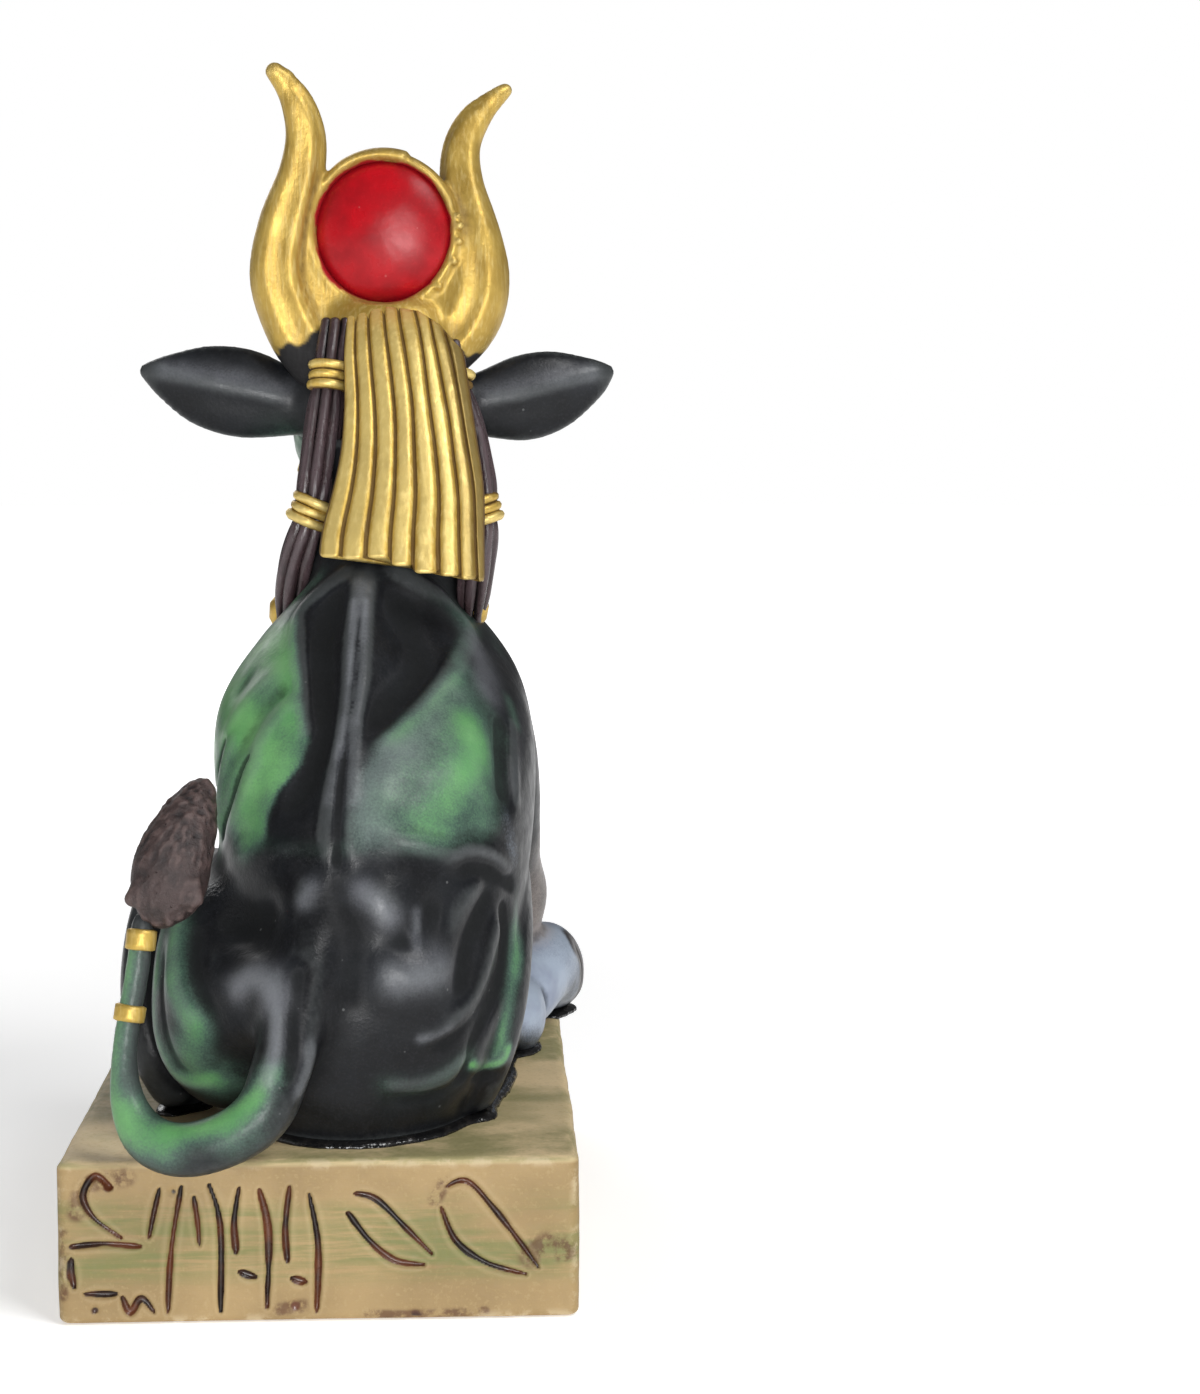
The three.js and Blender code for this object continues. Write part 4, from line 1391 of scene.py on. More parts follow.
def tail_tuft():
    """The tuft: fine locks of hair laid up along it, and a fringe of tips over the tail."""
    clay = Clay((-32, -8, 26), (-10, 16, 54), TUFT_CELL)
    clay.limb(TUFT, soft=1, across=FORWARD)
    for k, (x, z) in enumerate(FRINGE):
        lock = [
            (x * 0.8 - 4, -0.8, 36, 0.9, 0.8),
            (x, -1.2, 34.2, 0.8, 0.8),
            (x + 0.3, -0.9 - 0.2 * (k % 2), z, 0.3, 0.3),
        ]
        clay.limb(lock, soft=1.0, count=10)
    part, places = clay.whole()
    points = np.stack(places, axis=-1)
    lean = points.copy()
    lean[..., 0] += (points[..., 2] - 38) * -0.42
    rough = 0.4 + 0.6 * eased(points[..., 2], 36, 45)
    clay.field += (0.2 * rough * lumps(lean, (0.55, 0.55, 2.6), 51)).astype(np.float32)
    clay.field += (0.12 * rough * lumps(points, 0.7, 52)).astype(np.float32)
    skin, faces = clay.skinned()
    marks = {"crest": clay.crests(skin, 0.6)}
    piece("tail_tuft", to_object(skin), faces, tuft_paint(), marks)


COLLAR_THICK = 0.8
COLLAR_ROW = 1.9
COLLAR_BACK = 62


def collar_drape(y, z):
    """How far up the collar a place is, from the lower edge that falls towards the front."""
    return z - 55 - 0.45 * (72 - y)


def collar(body_form):
    """A broad collar over the chest, in raised rows that follow its lower edge."""
    clay = Clay((-22, 50, 52), (22, 80, 82), HEAD_CELL)
    part, (x, y, z) = clay.whole()
    points = np.stack([x, y, z], axis=-1).reshape(-1, 3)
    skin = body_form.sampled(body_form.field, points).reshape(x.shape)
    drape = collar_drape(y, z)
    rows = np.abs(np.sin(np.pi * drape / COLLAR_ROW))
    edges = np.maximum(np.maximum(-drape, drape - 16.5 - 0.3 * (y - 72)), COLLAR_BACK - y)
    form = np.maximum(skin - COLLAR_THICK + 0.4 * (1 - rows) ** 2, edges)
    clay.join(part, np.maximum(form, -0.5 - skin).astype(np.float32), 0.1)
    points, faces = clay.skinned()
    drape = collar_drape(points[:, 1], points[:, 2])
    # Row tops take the gold's painted highlight and the grooves between rows its brown wash.
    marks = {"crest": 2 * np.abs(np.sin(np.pi * drape / COLLAR_ROW)) - 1}
    piece("collar", to_object(points), faces, gold_paint(), marks)


def eyes():
    parts = []
    for socket in both_cheeks([EYE]):
        rows = []
        for angle in np.linspace(0.12, math.pi - 0.12, 16):
            radius = EYE_RADIUS * math.sin(angle)
            centre = socket[0] - (0, 0, EYE_RADIUS * math.cos(angle))
            rows.append((*centre, radius, radius))
        parts.append(tube(rows, 24, cap=0.1))
    points, faces = merged(parts)
    piece("eyes", to_object(points), faces, eye_paint())


# Plinth

STROKE_HALF = 0.46
STROKE_DEPTH = 0.7
PLINTH_STEP = 0.25
PLINTH_STROKES = {
    "crook": [(8.2, 11.6), (4.8, 14.2), (3.4, 17.2), (5, 19.8), (7, 18.2)],
    "shelf": [(1.8, 10.5), (6, 10.8), (10.6, 10.4)],
    "rise": [(11.8, 11.6), (12.4, 14.6), (13.2, 18)],
    "fall": [(16, 18.2), (14.6, 10), (14, 1.6)],
    "side": [(1.8, 8.8), (1.8, 7), (2.1, 5)],
    "sill": [(3.4, 4.2), (5.4, 4.1), (7.4, 4.1)],
    "zigzag": [(8.2, 3.6), (9.2, 1.6), (10.6, 3.4), (12.2, 1.6)],
    "first_long": [(19.6, 18.4), (20.9, 13), (20.8, 1.6)],
    "first_short": [(17.6, 16.8), (18, 13.6), (18.2, 10.4)],
    "second_long": [(26, 17.6), (27.1, 12), (26.8, 2)],
    "second_short": [(23.4, 18), (22.7, 13.4), (22.9, 9.4)],
    "second_tick": [(23.4, 6.8), (24.4, 6.4), (25.4, 6.1)],
    "third_long": [(32.4, 17), (33.5, 10), (33.2, 1.4)],
    "third_short": [(29.9, 18), (29.3, 12.6), (29.5, 8.2)],
    "third_tick": [(30.1, 5.8), (31, 5.5), (31.8, 5.3)],
    "small_upper": [(38.4, 17), (41, 16.2), (44.4, 12.8), (48.2, 8.8)],
    "small_lower": [(37.4, 14.4), (40, 10.8), (43.4, 8), (47.2, 7.4)],
    "large_upper": [(50.2, 17.8), (52.8, 18.4), (56.2, 14.8), (62, 6.8)],
    "large_lower": [(49.4, 15), (51.4, 10.4), (55.4, 7.4), (60.4, 5.9)],
}


def box_lines(half, corner, step):
    """Places of the grid lines along one side of the block, closer at its rounded ends."""
    bend = np.linspace(0, corner, 4)[1:]
    flat = half - corner
    middle = np.linspace(-flat, flat, int(round(2 * flat / step)) + 1)
    return np.concatenate([-flat - bend[::-1], middle, flat + bend])


def block(halves, corners, steps):
    """A closed block of grids with rounded edges, about its own middle."""
    lines = [box_lines(h, c, s) for h, c, s in zip(halves, corners, steps)]
    counts = [len(line) for line in lines]
    number = {}
    points = []
    faces = []

    def corner_of(i, j, k):
        key = (i, j, k)
        if key not in number:
            number[key] = len(points)
            points.append((lines[0][i], lines[1][j], lines[2][k]))
        return number[key]

    for axis in range(3):
        a, b = [other for other in range(3) if other != axis]
        for end in (0, counts[axis] - 1):
            for p in range(counts[a] - 1):
                for q in range(counts[b] - 1):
                    quad = []
                    for dp, dq in ((0, 0), (1, 0), (1, 1), (0, 1)):
                        index = [0, 0, 0]
                        index[axis] = end
                        index[a] = p + dp
                        index[b] = q + dq
                        quad.append(corner_of(*index))
                    outward = (end > 0) == (axis != 1)
                    faces.append(tuple(quad) if outward else tuple(quad[::-1]))
    points = np.array(points)
    flats = np.array(halves) - np.array(corners)
    core = np.clip(points, -flats, flats)
    lean = (points - core) / np.array(corners)
    length = np.maximum(np.linalg.norm(lean, axis=1), TINY)[:, None]
    return core + lean / length * np.array(corners), faces


PLINTH_CORNERS = (1.5, 1.5, 1.0)
PLINTH_DEEP_STEP = 2.0
LIP_HEIGHT = 0.08

# Stains of the face, each a line of place along it and height, and a width
PLINTH_DIRT = (
    ([(40, 0.9), (47, 0.7), (55, 1.1)], 0.7),
    ([(61, 8.4), (63.4, 10), (65.4, 9)], 1.6),
    ([(2.6, 15), (4, 18.6), (9, 19.6)], 1.2),
    ([(0.6, 4), (0.8, 12)], 0.8),
    ([(28.6, 1.8), (31.4, 2.2)], 0.9),
    ([(48.6, 16), (50, 18.4)], 0.9),
)
PITS = (
    # place along the face, height, radius
    (4.7, 2, 0.5),
    (30.4, 2.1, 0.8),
    (6.6, 18.2, 0.6),
    (15, 17.6, 0.5),
    (46, 0.6, 1.0),
)
PIT_DEPTH = 0.4


def carved_gap(points):
    """How far points of the face are from the middle of the nearest carved stroke."""
    along = PLINTH_WIDTH / 2 - points[:, 0]
    flat = np.zeros(len(points))
    places = [axis.astype(np.float32) for axis in (along, points[:, 2], flat)]
    square = np.full(len(points), FAR**4, np.float32)
    for stroke in PLINTH_STROKES.values():
        path = smoothed([(a, h, 0) for a, h in stroke], 6 * len(stroke))
        found, place = to_path(places, path)
        taper = 0.35 + 0.65 * np.sin(np.pi * np.clip(place, 0.01, 0.99)) ** 0.4
        square = np.minimum(square, found / taper**2)
    return np.sqrt(square)


def plinth():
    """The block, worn and uneven, with strokes carved in the face behind the cow."""
    halves = (PLINTH_WIDTH / 2, PLINTH_DEPTH / 2, PLINTH_HEIGHT / 2)
    points, faces = block(halves, PLINTH_CORNERS, (PLINTH_STEP, PLINTH_DEEP_STEP, PLINTH_STEP))
    points[:, 2] += PLINTH_HEIGHT / 2
    on_face = eased(points[:, 1], halves[1] - 0.4, halves[1] - 0.1)
    gap = carved_gap(points)
    width = STROKE_HALF * (0.95 + 0.4 * lumps(points, 3.4, 61))
    groove = np.exp(-((gap / width) ** 4)) * on_face
    # The raised lip round each stroke, which the plinth's paint also lightens as a painted highlight.
    lip = np.exp(-(((gap - 1.0) / 0.32) ** 2)) * on_face
    marks = {
        "groove": groove,
        "lip": lip,
        "rim": edge_nearness(points, halves),
        "dirt": brushed(points, [
            ([(PLINTH_WIDTH / 2 - a, halves[1], h) for a, h in path], width, 1.0)
            for path, width in PLINTH_DIRT
        ]),
    }
    slope = 0.25 * lumps(points, 19, 62) + 0.14 * lumps(points, 6, 63) + 0.05 * lumps(points, 1.7, 64)
    for axis, amount in ((0, 0.8), (1, 0.5)):
        outward = np.sign(points[:, axis])
        near_side = eased(np.abs(points[:, axis]), halves[axis] - 3, halves[axis])
        points[:, axis] += amount * slope * outward * near_side
    points[:, 1] -= STROKE_DEPTH * groove - LIP_HEIGHT * lip
    points[:, 2] += 0.3 * slope * eased(points[:, 2], PLINTH_HEIGHT - 3, PLINTH_HEIGHT)
    pits(points, on_face, marks)
    made = piece("plinth_block", points * MM, faces, plinth_paint(), marks)
    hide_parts("plinth")


def edge_nearness(points, halves):
    """1 at the block's edges, falling to 0 on its faces."""
    gaps = np.stack([
        halves[0] - np.abs(points[:, 0]),
        halves[1] - np.abs(points[:, 1]),
        np.minimum(points[:, 2], PLINTH_HEIGHT - points[:, 2]),
    ], axis=1)
    second = np.sort(gaps, axis=1)[:, 1]
    return 1 - eased(second, 0.2, 1.6)


def pits(points, on_face, marks):
    """Small air holes and nicks in the face."""
    for along, height, radius in PITS:
        square = (PLINTH_WIDTH / 2 - points[:, 0] - along) ** 2 + (points[:, 2] - height) ** 2
        pit = np.exp(-square / radius**2) * on_face
        points[:, 1] -= PIT_DEPTH * pit
        marks["groove"] = np.maximum(marks["groove"], 0.7 * pit)


def bonding_bead(body):
    """The black bead squeezed out all round under the figure, with small bubbles."""
    clay = Clay((-32, -6, -1.2), (32, 94, 3.4), BEAD_CELL)
    part, places = clay.whole()
    x, y, z = places
    points = np.stack(places, axis=-1)
    inside = body.sampled(body.field, points.reshape(-1, 3) * (1, 1, 0) + (0, 0, 1.2)).reshape(x.shape)
    ragged = 0.3 * lumps(points, 5.0, 71) + 0.1 * lumps(points, 1.1, 72)
    drawn_in = 0.7 * np.maximum(eased(y, 40, 56), eased(-x, 12, 17) * eased(y, 30, 20))
    spill = np.sqrt(np.maximum(inside - 0.2 + drawn_in + ragged * 0.8, 0) ** 2 + (z / 0.9) ** 2) - 1.0
    spill = np.maximum(spill, -0.4 - z)
    beyond = past_rear_face(x, y) + 0.6
    clay.join(part, np.maximum(spill, beyond).astype(np.float32), 0.1)
    skin, faces = clay.skinned()
    piece("bonding_bead", to_object(skin), faces, bead_paint())


# Materials

def srgb(red, green, blue):
    """A colour from its 0 to 255 screen values."""
    scaled = [value / 255 for value in (red, green, blue)]
    linear = [c / 12.92 if c <= 0.04045 else ((c + 0.055) / 1.055) ** 2.4 for c in scaled]
    return (*linear, 1.0)


class Nodes:
    """Adds and links nodes of one tree."""

    def __init__(self, tree):
        self.tree = tree

    def add(self, kind, settings=None, **inputs):
        node = self.tree.nodes.new(kind)
        for name, value in (settings or {}).items():
            setattr(node, name, value)
        for name, value in inputs.items():
            self.feed(node, name.replace("_", " "), value)
        return node

    def feed(self, node, name, value):
        socket = node.inputs[int(name)] if name.isdigit() else node.inputs[name]
        if isinstance(value, bpy.types.NodeSocket):
            self.tree.links.new(value, socket)
        else:
            socket.default_value = value

    def maths(self, operation, a, b, clamp=False):
        node = self.tree.nodes.new("ShaderNodeMath")
        node.operation = operation
        node.use_clamp = clamp
        self.feed(node, "0", a)
        self.feed(node, "1", b)
        return node.outputs[0]

    def mix(self, factor, a, b):
        node = self.tree.nodes.new("ShaderNodeMix")
        node.data_type = "RGBA"
        self.feed(node, "0", factor)
        self.feed(node, "6", a)
        self.feed(node, "7", b)
        return node.outputs[2]

    def ramp(self, value, low, high, start=0.0, end=1.0):
        node = self.tree.nodes.new("ShaderNodeMapRange")
        node.interpolation_type = "SMOOTHSTEP"
        for index, part in enumerate((value, low, high, start, end)):
            self.feed(node, str(index), part)
        return node.outputs[0]

    def noise(self, place, scale, detail=4.0, rough=0.55, distort=0.0):
        node = self.tree.nodes.new("ShaderNodeTexNoise")
        self.feed(node, "Vector", place)
        self.feed(node, "Scale", scale)
        self.feed(node, "Detail", detail)
        self.feed(node, "Roughness", rough)
        self.feed(node, "Distortion", distort)
        return node.outputs[0]

    def mark(self, name):
        node = self.tree.nodes.new("ShaderNodeAttribute")
        node.attribute_name = name
        return node.outputs["Fac"]


def new_group(name, inputs, outputs):
    """A node group with named sockets, and its input and output nodes."""
    tree = bpy.data.node_groups.new(name, "ShaderNodeTree")
    for label, kind, value in inputs:
        socket = tree.interface.new_socket(name=label, in_out="INPUT", socket_type=kind)
        if value is not None:
            socket.default_value = value
    for label, kind in outputs:
        tree.interface.new_socket(name=label, in_out="OUTPUT", socket_type=kind)
    start = tree.nodes.new("NodeGroupInput")
    end = tree.nodes.new("NodeGroupOutput")
    return tree, start, end


FLOAT = "NodeSocketFloat"
COLOUR = "NodeSocketColor"
VECTOR = "NodeSocketVector"


def airbrush_group():
    """Breaks the edge of a sprayed mask up with soft mottling and fine spatter."""
    inputs = [
        ("Mask", FLOAT, 0.0),
        ("Place", VECTOR, None),
        ("Mottle Scale", FLOAT, 120.0),
        ("Mottle", FLOAT, 0.3),
        ("Spatter", FLOAT, 0.15),
    ]
    tree, start, end = new_group("airbrush", inputs, [("Cover", FLOAT)])
    nodes = Nodes(tree)
    soft = nodes.noise(start.outputs["Place"], start.outputs["Mottle Scale"], 3.0)
    fine = nodes.noise(start.outputs["Place"], 3200.0, 2.0)
    soft = nodes.maths("MULTIPLY", nodes.maths("SUBTRACT", soft, 0.5), start.outputs["Mottle"])
    fine = nodes.maths("MULTIPLY", nodes.maths("SUBTRACT", fine, 0.5), start.outputs["Spatter"])
    worked = nodes.maths("ADD", soft, fine)
    edge = nodes.ramp(start.outputs["Mask"], 0.0, 0.25)
    worked = nodes.maths("MULTIPLY", worked, edge)
    cover = nodes.maths("ADD", start.outputs["Mask"], worked, clamp=True)
    tree.links.new(cover, end.inputs["Cover"])
    return tree


def wear_group():
    """Lightens crests and darkens folds of a paint: dry-brushing and a wash, together with painted highlights
    on the crests and painted shade in the folds.
    """
    inputs = [
        ("Colour", COLOUR, (0.5, 0.5, 0.5, 1.0)),
        ("Crest Colour", COLOUR, (0.8, 0.8, 0.8, 1.0)),
        ("Fold Colour", COLOUR, (0.0, 0.0, 0.0, 1.0)),
        ("Crest", FLOAT, 0.0),
        ("Place", VECTOR, None),
        ("Crest Amount", FLOAT, 0.5),
        ("Fold Amount", FLOAT, 0.5),
    ]
    tree, start, end = new_group("highlight_shade_and_wash", inputs, [("Colour", COLOUR), ("Fold", FLOAT)])
    nodes = Nodes(tree)
    grain = nodes.noise(start.outputs["Place"], 900.0, 4.0)
    grain = nodes.maths("MULTIPLY", nodes.maths("SUBTRACT", grain, 0.5), 0.5)
    high = nodes.maths("ADD", start.outputs["Crest"], grain)
    crest = nodes.maths("MULTIPLY", nodes.ramp(high, 0.15, 0.9), start.outputs["Crest Amount"])
    fold = nodes.maths("MULTIPLY", nodes.ramp(high, -0.1, -0.8), start.outputs["Fold Amount"])
    lit = nodes.mix(crest, start.outputs["Colour"], start.outputs["Crest Colour"])
    dark = nodes.mix(fold, lit, start.outputs["Fold Colour"])
    tree.links.new(dark, end.inputs["Colour"])
    tree.links.new(fold, end.inputs["Fold"])
    return tree


def specks_group():
    """Small scattered specks of dust and dried paint."""
    inputs = [("Place", VECTOR, None), ("Scale", FLOAT, 900.0), ("Amount", FLOAT, 0.04)]
    tree, start, end = new_group("specks", inputs, [("Mask", FLOAT)])
    nodes = Nodes(tree)
    cells = tree.nodes.new("ShaderNodeTexVoronoi")
    nodes.feed(cells, "Vector", start.outputs["Place"])
    nodes.feed(cells, "Scale", start.outputs["Scale"])
    near = nodes.ramp(cells.outputs["Distance"], 0.22, 0.1)
    pick = tree.nodes.new("ShaderNodeSeparateColor")
    tree.links.new(cells.outputs["Color"], pick.inputs[0])
    chosen = nodes.maths("LESS_THAN", pick.outputs[0], start.outputs["Amount"])
    tree.links.new(nodes.maths("MULTIPLY", near, chosen), end.inputs["Mask"])
    return tree


GROUPS = {"airbrush": airbrush_group(), "highlight_shade_and_wash": wear_group(), "specks": specks_group()}


def use_group(nodes, name, output, **inputs):
    node = nodes.tree.nodes.new("ShaderNodeGroup")
    node.node_tree = GROUPS[name]
    for label, value in inputs.items():
        nodes.feed(node, label.replace("_", " "), value)
    return node.outputs[output]


def new_material(name, roughness=0.5, metallic=0.0):
    material = bpy.data.materials.new(name)
    material.use_nodes = True
    nodes = Nodes(material.node_tree)
    shader = material.node_tree.nodes["Principled BSDF"]
    shader.inputs["Roughness"].default_value = roughness
    shader.inputs["Metallic"].default_value = metallic
    place = material.node_tree.nodes.new("ShaderNodeTexCoord").outputs["Object"]
    return material, nodes, shader, place


def relief(nodes, shader, height, distance, strength=1.0):
    bump = nodes.add("ShaderNodeBump", Strength=strength, Distance=distance, Height=height)
    nodes.feed(shader, "Normal", bump.outputs[0])


PAINT_RELIEF = 0.00012  # depth in metres of the bumps in sprayed and brushed paint

BLACK = srgb(17, 18, 20)
SPRAY_GREEN = srgb(86, 142, 86)
DEEP_GREEN = srgb(68, 92, 80)
DRYBRUSH_SHEEN_GREY = srgb(122, 124, 130)
PALE_BLUE = srgb(152, 163, 178)
TAUPE = srgb(140, 131, 126)
HOOF = srgb(44, 38, 38)
GOLD = srgb(197, 166, 84)
DULL_GOLD = srgb(173, 142, 66)
GOLD_BRUSH = srgb(226, 206, 142)
GOLD_CREST_HIGHLIGHT = srgb(238, 217, 146)
GOLD_FOLD = srgb(66, 40, 12)
GOLD_SHADE = srgb(82, 60, 28)
RED_SLOP = srgb(146, 12, 22)
BARE_BLACK = srgb(28, 27, 28)
TAN = srgb(160, 135, 92)
DARK_TAN = srgb(138, 115, 75)
LIT_TOP_TAN = srgb(226, 202, 158)
GREEN_WASH = srgb(100, 110, 58)
BROWN_STAIN = srgb(88, 56, 28)


def body_paint(name="body_paint"):
    """Black airbrushed over green, with grey that is partly dry-brushed and partly painted highlights and
    sheen, and pale feet.
    """
    material, nodes, shader, place = new_material(name)

    def sprayed(mark, scale, mottle, spatter):
        return use_group(nodes, "airbrush", "Cover", Mask=nodes.mark(mark), Place=place,
                         Mottle_Scale=scale, Mottle=mottle, Spatter=spatter)

    broad = nodes.noise(place, 160.0, 3.0)
    fine = nodes.noise(place, 2600.0, 2.0)
    black = nodes.mix(nodes.ramp(broad, 0.35, 0.7), BLACK, srgb(23, 25, 28))
    black = nodes.mix(nodes.ramp(fine, 0.45, 0.75, 0.0, 0.22), black, srgb(46, 45, 50))
    green = nodes.mix(nodes.ramp(broad, 0.3, 0.75), SPRAY_GREEN, srgb(104, 158, 98))
    cover = sprayed("green", 130.0, 0.6, 0.35)
    colour = nodes.mix(nodes.ramp(cover, 0.0, 0.6), black, DEEP_GREEN)
    colour = nodes.mix(nodes.ramp(cover, 0.35, 0.95), colour, green)
    # The grey: dry-brushing together with painted highlights and sheen on the black.
    drybrush_and_sheen = sprayed("drybrush_and_sheen", 260.0, 0.35, 0.3)
    colour = nodes.mix(nodes.maths("MULTIPLY", drybrush_and_sheen, 0.85), colour, DRYBRUSH_SHEEN_GREY)
    pale = nodes.mix(nodes.ramp(broad, 0.4, 0.8), PALE_BLUE, srgb(130, 138, 156))
    colour = nodes.mix(nodes.ramp(sprayed("pale", 150.0, 0.4, 0.3), 0.2, 0.8), colour, pale)
    colour = nodes.mix(nodes.ramp(sprayed("taupe", 150.0, 0.4, 0.3), 0.25, 0.8), colour, TAUPE)
    colour = nodes.mix(nodes.ramp(sprayed("hoof", 300.0, 0.5, 0.3), 0.35, 0.7), colour, HOOF)
    # Crests a touch paler, dry-brushing with a painted highlight; folds near black, black sprayed into the
    # recesses together with painted shade.
    colour = use_group(nodes, "highlight_shade_and_wash", "Colour", Colour=colour, Crest_Colour=srgb(150, 156, 156),
                       Fold_Colour=srgb(14, 16, 17), Crest=nodes.mark("crest"), Place=place,
                       Crest_Amount=0.1, Fold_Amount=0.7)
    dust = use_group(nodes, "specks", "Mask", Place=place, Scale=900.0, Amount=0.02)
    colour = nodes.mix(nodes.maths("MULTIPLY", dust, 0.4), colour, srgb(110, 112, 112))
    nodes.feed(shader, "Base Color", colour)
    shader.inputs["Specular IOR Level"].default_value = 0.2
    rough = nodes.ramp(nodes.noise(place, 500.0, 4.0), 0.3, 0.7, 0.3, 0.4)
    rough = nodes.maths("ADD", rough, nodes.ramp(nodes.mark("crest"), 0.0, -0.5, 0.0, 0.45))
    wet = nodes.maths("MULTIPLY", nodes.mark("rough"), 0.22)
    nodes.feed(shader, "Roughness", nodes.maths("SUBTRACT", rough, wet))
    orange_peel = nodes.noise(place, 700.0, 3.0)
    rough_spots = nodes.maths("MULTIPLY", nodes.mark("rough"), 5.0)
    lump = nodes.maths("MULTIPLY", nodes.noise(place, 1500.0, 3.0, 0.7), rough_spots)
    height = nodes.maths("ADD", orange_peel, lump)
    height = nodes.maths("ADD", height, nodes.maths("MULTIPLY", fine, 0.4))
    relief(nodes, shader, height, PAINT_RELIEF, 0.5)
    return material


def gold_paint():
    """Metallic gold paint with a brown wash left in the grooves, and a paler gold on its crests that is a
    painted highlight.
    """
    found = bpy.data.materials.get("gold_paint")
    if found:
        return found
    material, nodes, shader, place = new_material("gold_paint")
    shader.inputs["Specular IOR Level"].default_value = 0.25
    broad = nodes.noise(place, 220.0, 4.0)
    stretched = nodes.add("ShaderNodeMapping", Vector=place, Scale=(2200.0, 2200.0, 260.0)).outputs[0]
    brush = nodes.noise(stretched, 1.0, 4.0)
    gold = nodes.mix(nodes.ramp(broad, 0.3, 0.7), GOLD, DULL_GOLD)
    gold = nodes.mix(nodes.ramp(brush, 0.45, 0.75, 0.0, 0.4), gold, GOLD_BRUSH)
    # Crests are painted a paler gold, a painted highlight; folds take the brown wash.
    colour = use_group(nodes, "highlight_shade_and_wash", "Colour", Colour=gold, Crest_Colour=GOLD_CREST_HIGHLIGHT,
                       Fold_Colour=GOLD_FOLD, Crest=nodes.mark("crest"), Place=place,
                       Crest_Amount=0.45, Fold_Amount=0.85)
    colour = nodes.mix(nodes.maths("MULTIPLY", nodes.mark("shade"), 0.6), colour, GOLD_SHADE)
    colour = nodes.mix(nodes.mark("slop"), colour, RED_SLOP)
    bare = nodes.maths("MAXIMUM", nodes.mark("bare"), nodes.mark("slop"))
    colour = nodes.mix(nodes.mark("bare"), colour, BARE_BLACK)
    fold = nodes.maths("MAXIMUM", nodes.ramp(nodes.mark("crest"), -0.1, -0.8), bare)
    nodes.feed(shader, "Base Color", colour)
    nodes.feed(shader, "Metallic", nodes.maths("SUBTRACT", 0.5, nodes.maths("MULTIPLY", fold, 0.5)))
    rough = nodes.ramp(brush, 0.3, 0.7, 0.36, 0.5)
    nodes.feed(shader, "Roughness", nodes.maths("ADD", rough, nodes.maths("MULTIPLY", fold, 0.25)))
    height = nodes.maths("ADD", nodes.noise(place, 900.0, 4.0, 0.6), nodes.maths("MULTIPLY", brush, 0.5))
    relief(nodes, shader, height, PAINT_RELIEF, 0.6)
    return material


def red_enamel():
    material, nodes, shader, place = new_material("red_enamel", roughness=0.3)
    shader.inputs["Specular IOR Level"].default_value = 0.2
    broad = nodes.noise(place, 180.0, 4.0)
    red = nodes.mix(nodes.ramp(broad, 0.3, 0.75), srgb(162, 14, 24), srgb(128, 9, 18))
    # Darker towards the rim: painted shade where the dome meets the rim.
    edge = nodes.maths("MULTIPLY", nodes.mark("edge"), 0.55)
    red = nodes.mix(edge, red, srgb(86, 8, 14))
    fine = nodes.noise(place, 2400.0, 3.0)
    red = nodes.mix(nodes.ramp(fine, 0.5, 0.8, 0.0, 0.25), red, srgb(190, 36, 44))
    specks = use_group(nodes, "specks", "Mask", Place=place, Scale=1100.0, Amount=0.015)
    red = nodes.mix(nodes.maths("MULTIPLY", specks, 0.4), red, srgb(196, 120, 116))
    nodes.feed(shader, "Base Color", red)
    nodes.feed(shader, "Roughness", nodes.ramp(broad, 0.3, 0.7, 0.24, 0.38))
    height = nodes.maths("ADD", nodes.noise(place, 420.0, 3.0), nodes.maths("MULTIPLY", fine, 0.25))
    relief(nodes, shader, height, 0.0001, 0.4)
    return material


def braid_paint():
    material, nodes, shader, place = new_material("braid_paint", roughness=0.42)
    stretched = nodes.add("ShaderNodeMapping", Vector=place, Scale=(2600.0, 2600.0, 120.0)).outputs[0]
    hair = nodes.noise(stretched, 1.0, 4.0, 0.6)
    broad = nodes.noise(place, 300.0, 3.0)
    colour = nodes.mix(nodes.ramp(broad, 0.3, 0.7), srgb(58, 44, 46), srgb(42, 31, 33))
    colour = nodes.mix(nodes.ramp(hair, 0.52, 0.78, 0.0, 0.35), colour, srgb(92, 78, 82))
    # Painted highlights on the outer crests of the locks, and near-black painted shade where the locks press
    # together.
    colour = use_group(nodes, "highlight_shade_and_wash", "Colour", Colour=colour, Crest_Colour=srgb(94, 80, 84),
                       Fold_Colour=srgb(14, 11, 12), Crest=nodes.mark("crest"), Place=place,
                       Crest_Amount=0.45, Fold_Amount=0.95)
    nodes.feed(shader, "Base Color", colour)
    nodes.feed(shader, "Roughness", nodes.ramp(broad, 0.3, 0.7, 0.24, 0.38))
    relief(nodes, shader, hair, 0.0002, 0.5)
    return material


def tuft_paint():
    material, nodes, shader, place = new_material("tuft_paint", roughness=0.5)
    broad = nodes.noise(place, 380.0, 4.0)
    colour = nodes.mix(nodes.ramp(broad, 0.3, 0.7), srgb(62, 47, 45), srgb(41, 31, 30))
    # Painted highlights on the crests of the locks and painted shade in the folds between them.
    colour = use_group(nodes, "highlight_shade_and_wash", "Colour", Colour=colour, Crest_Colour=srgb(92, 75, 72),
                       Fold_Colour=srgb(24, 16, 17), Crest=nodes.mark("crest"), Place=place,
                       Crest_Amount=0.5, Fold_Amount=0.85)
    wet = use_group(nodes, "specks", "Mask", Place=place, Scale=1100.0, Amount=0.2)
    nodes.feed(shader, "Base Color", colour)
    nodes.feed(shader, "Roughness", nodes.maths("SUBTRACT", 0.52, nodes.maths("MULTIPLY", wet, 0.34)))
    height = nodes.maths("ADD", nodes.noise(place, 1500.0, 5.0, 0.7), wet)
    relief(nodes, shader, height, 0.0004, 0.7)
    return material


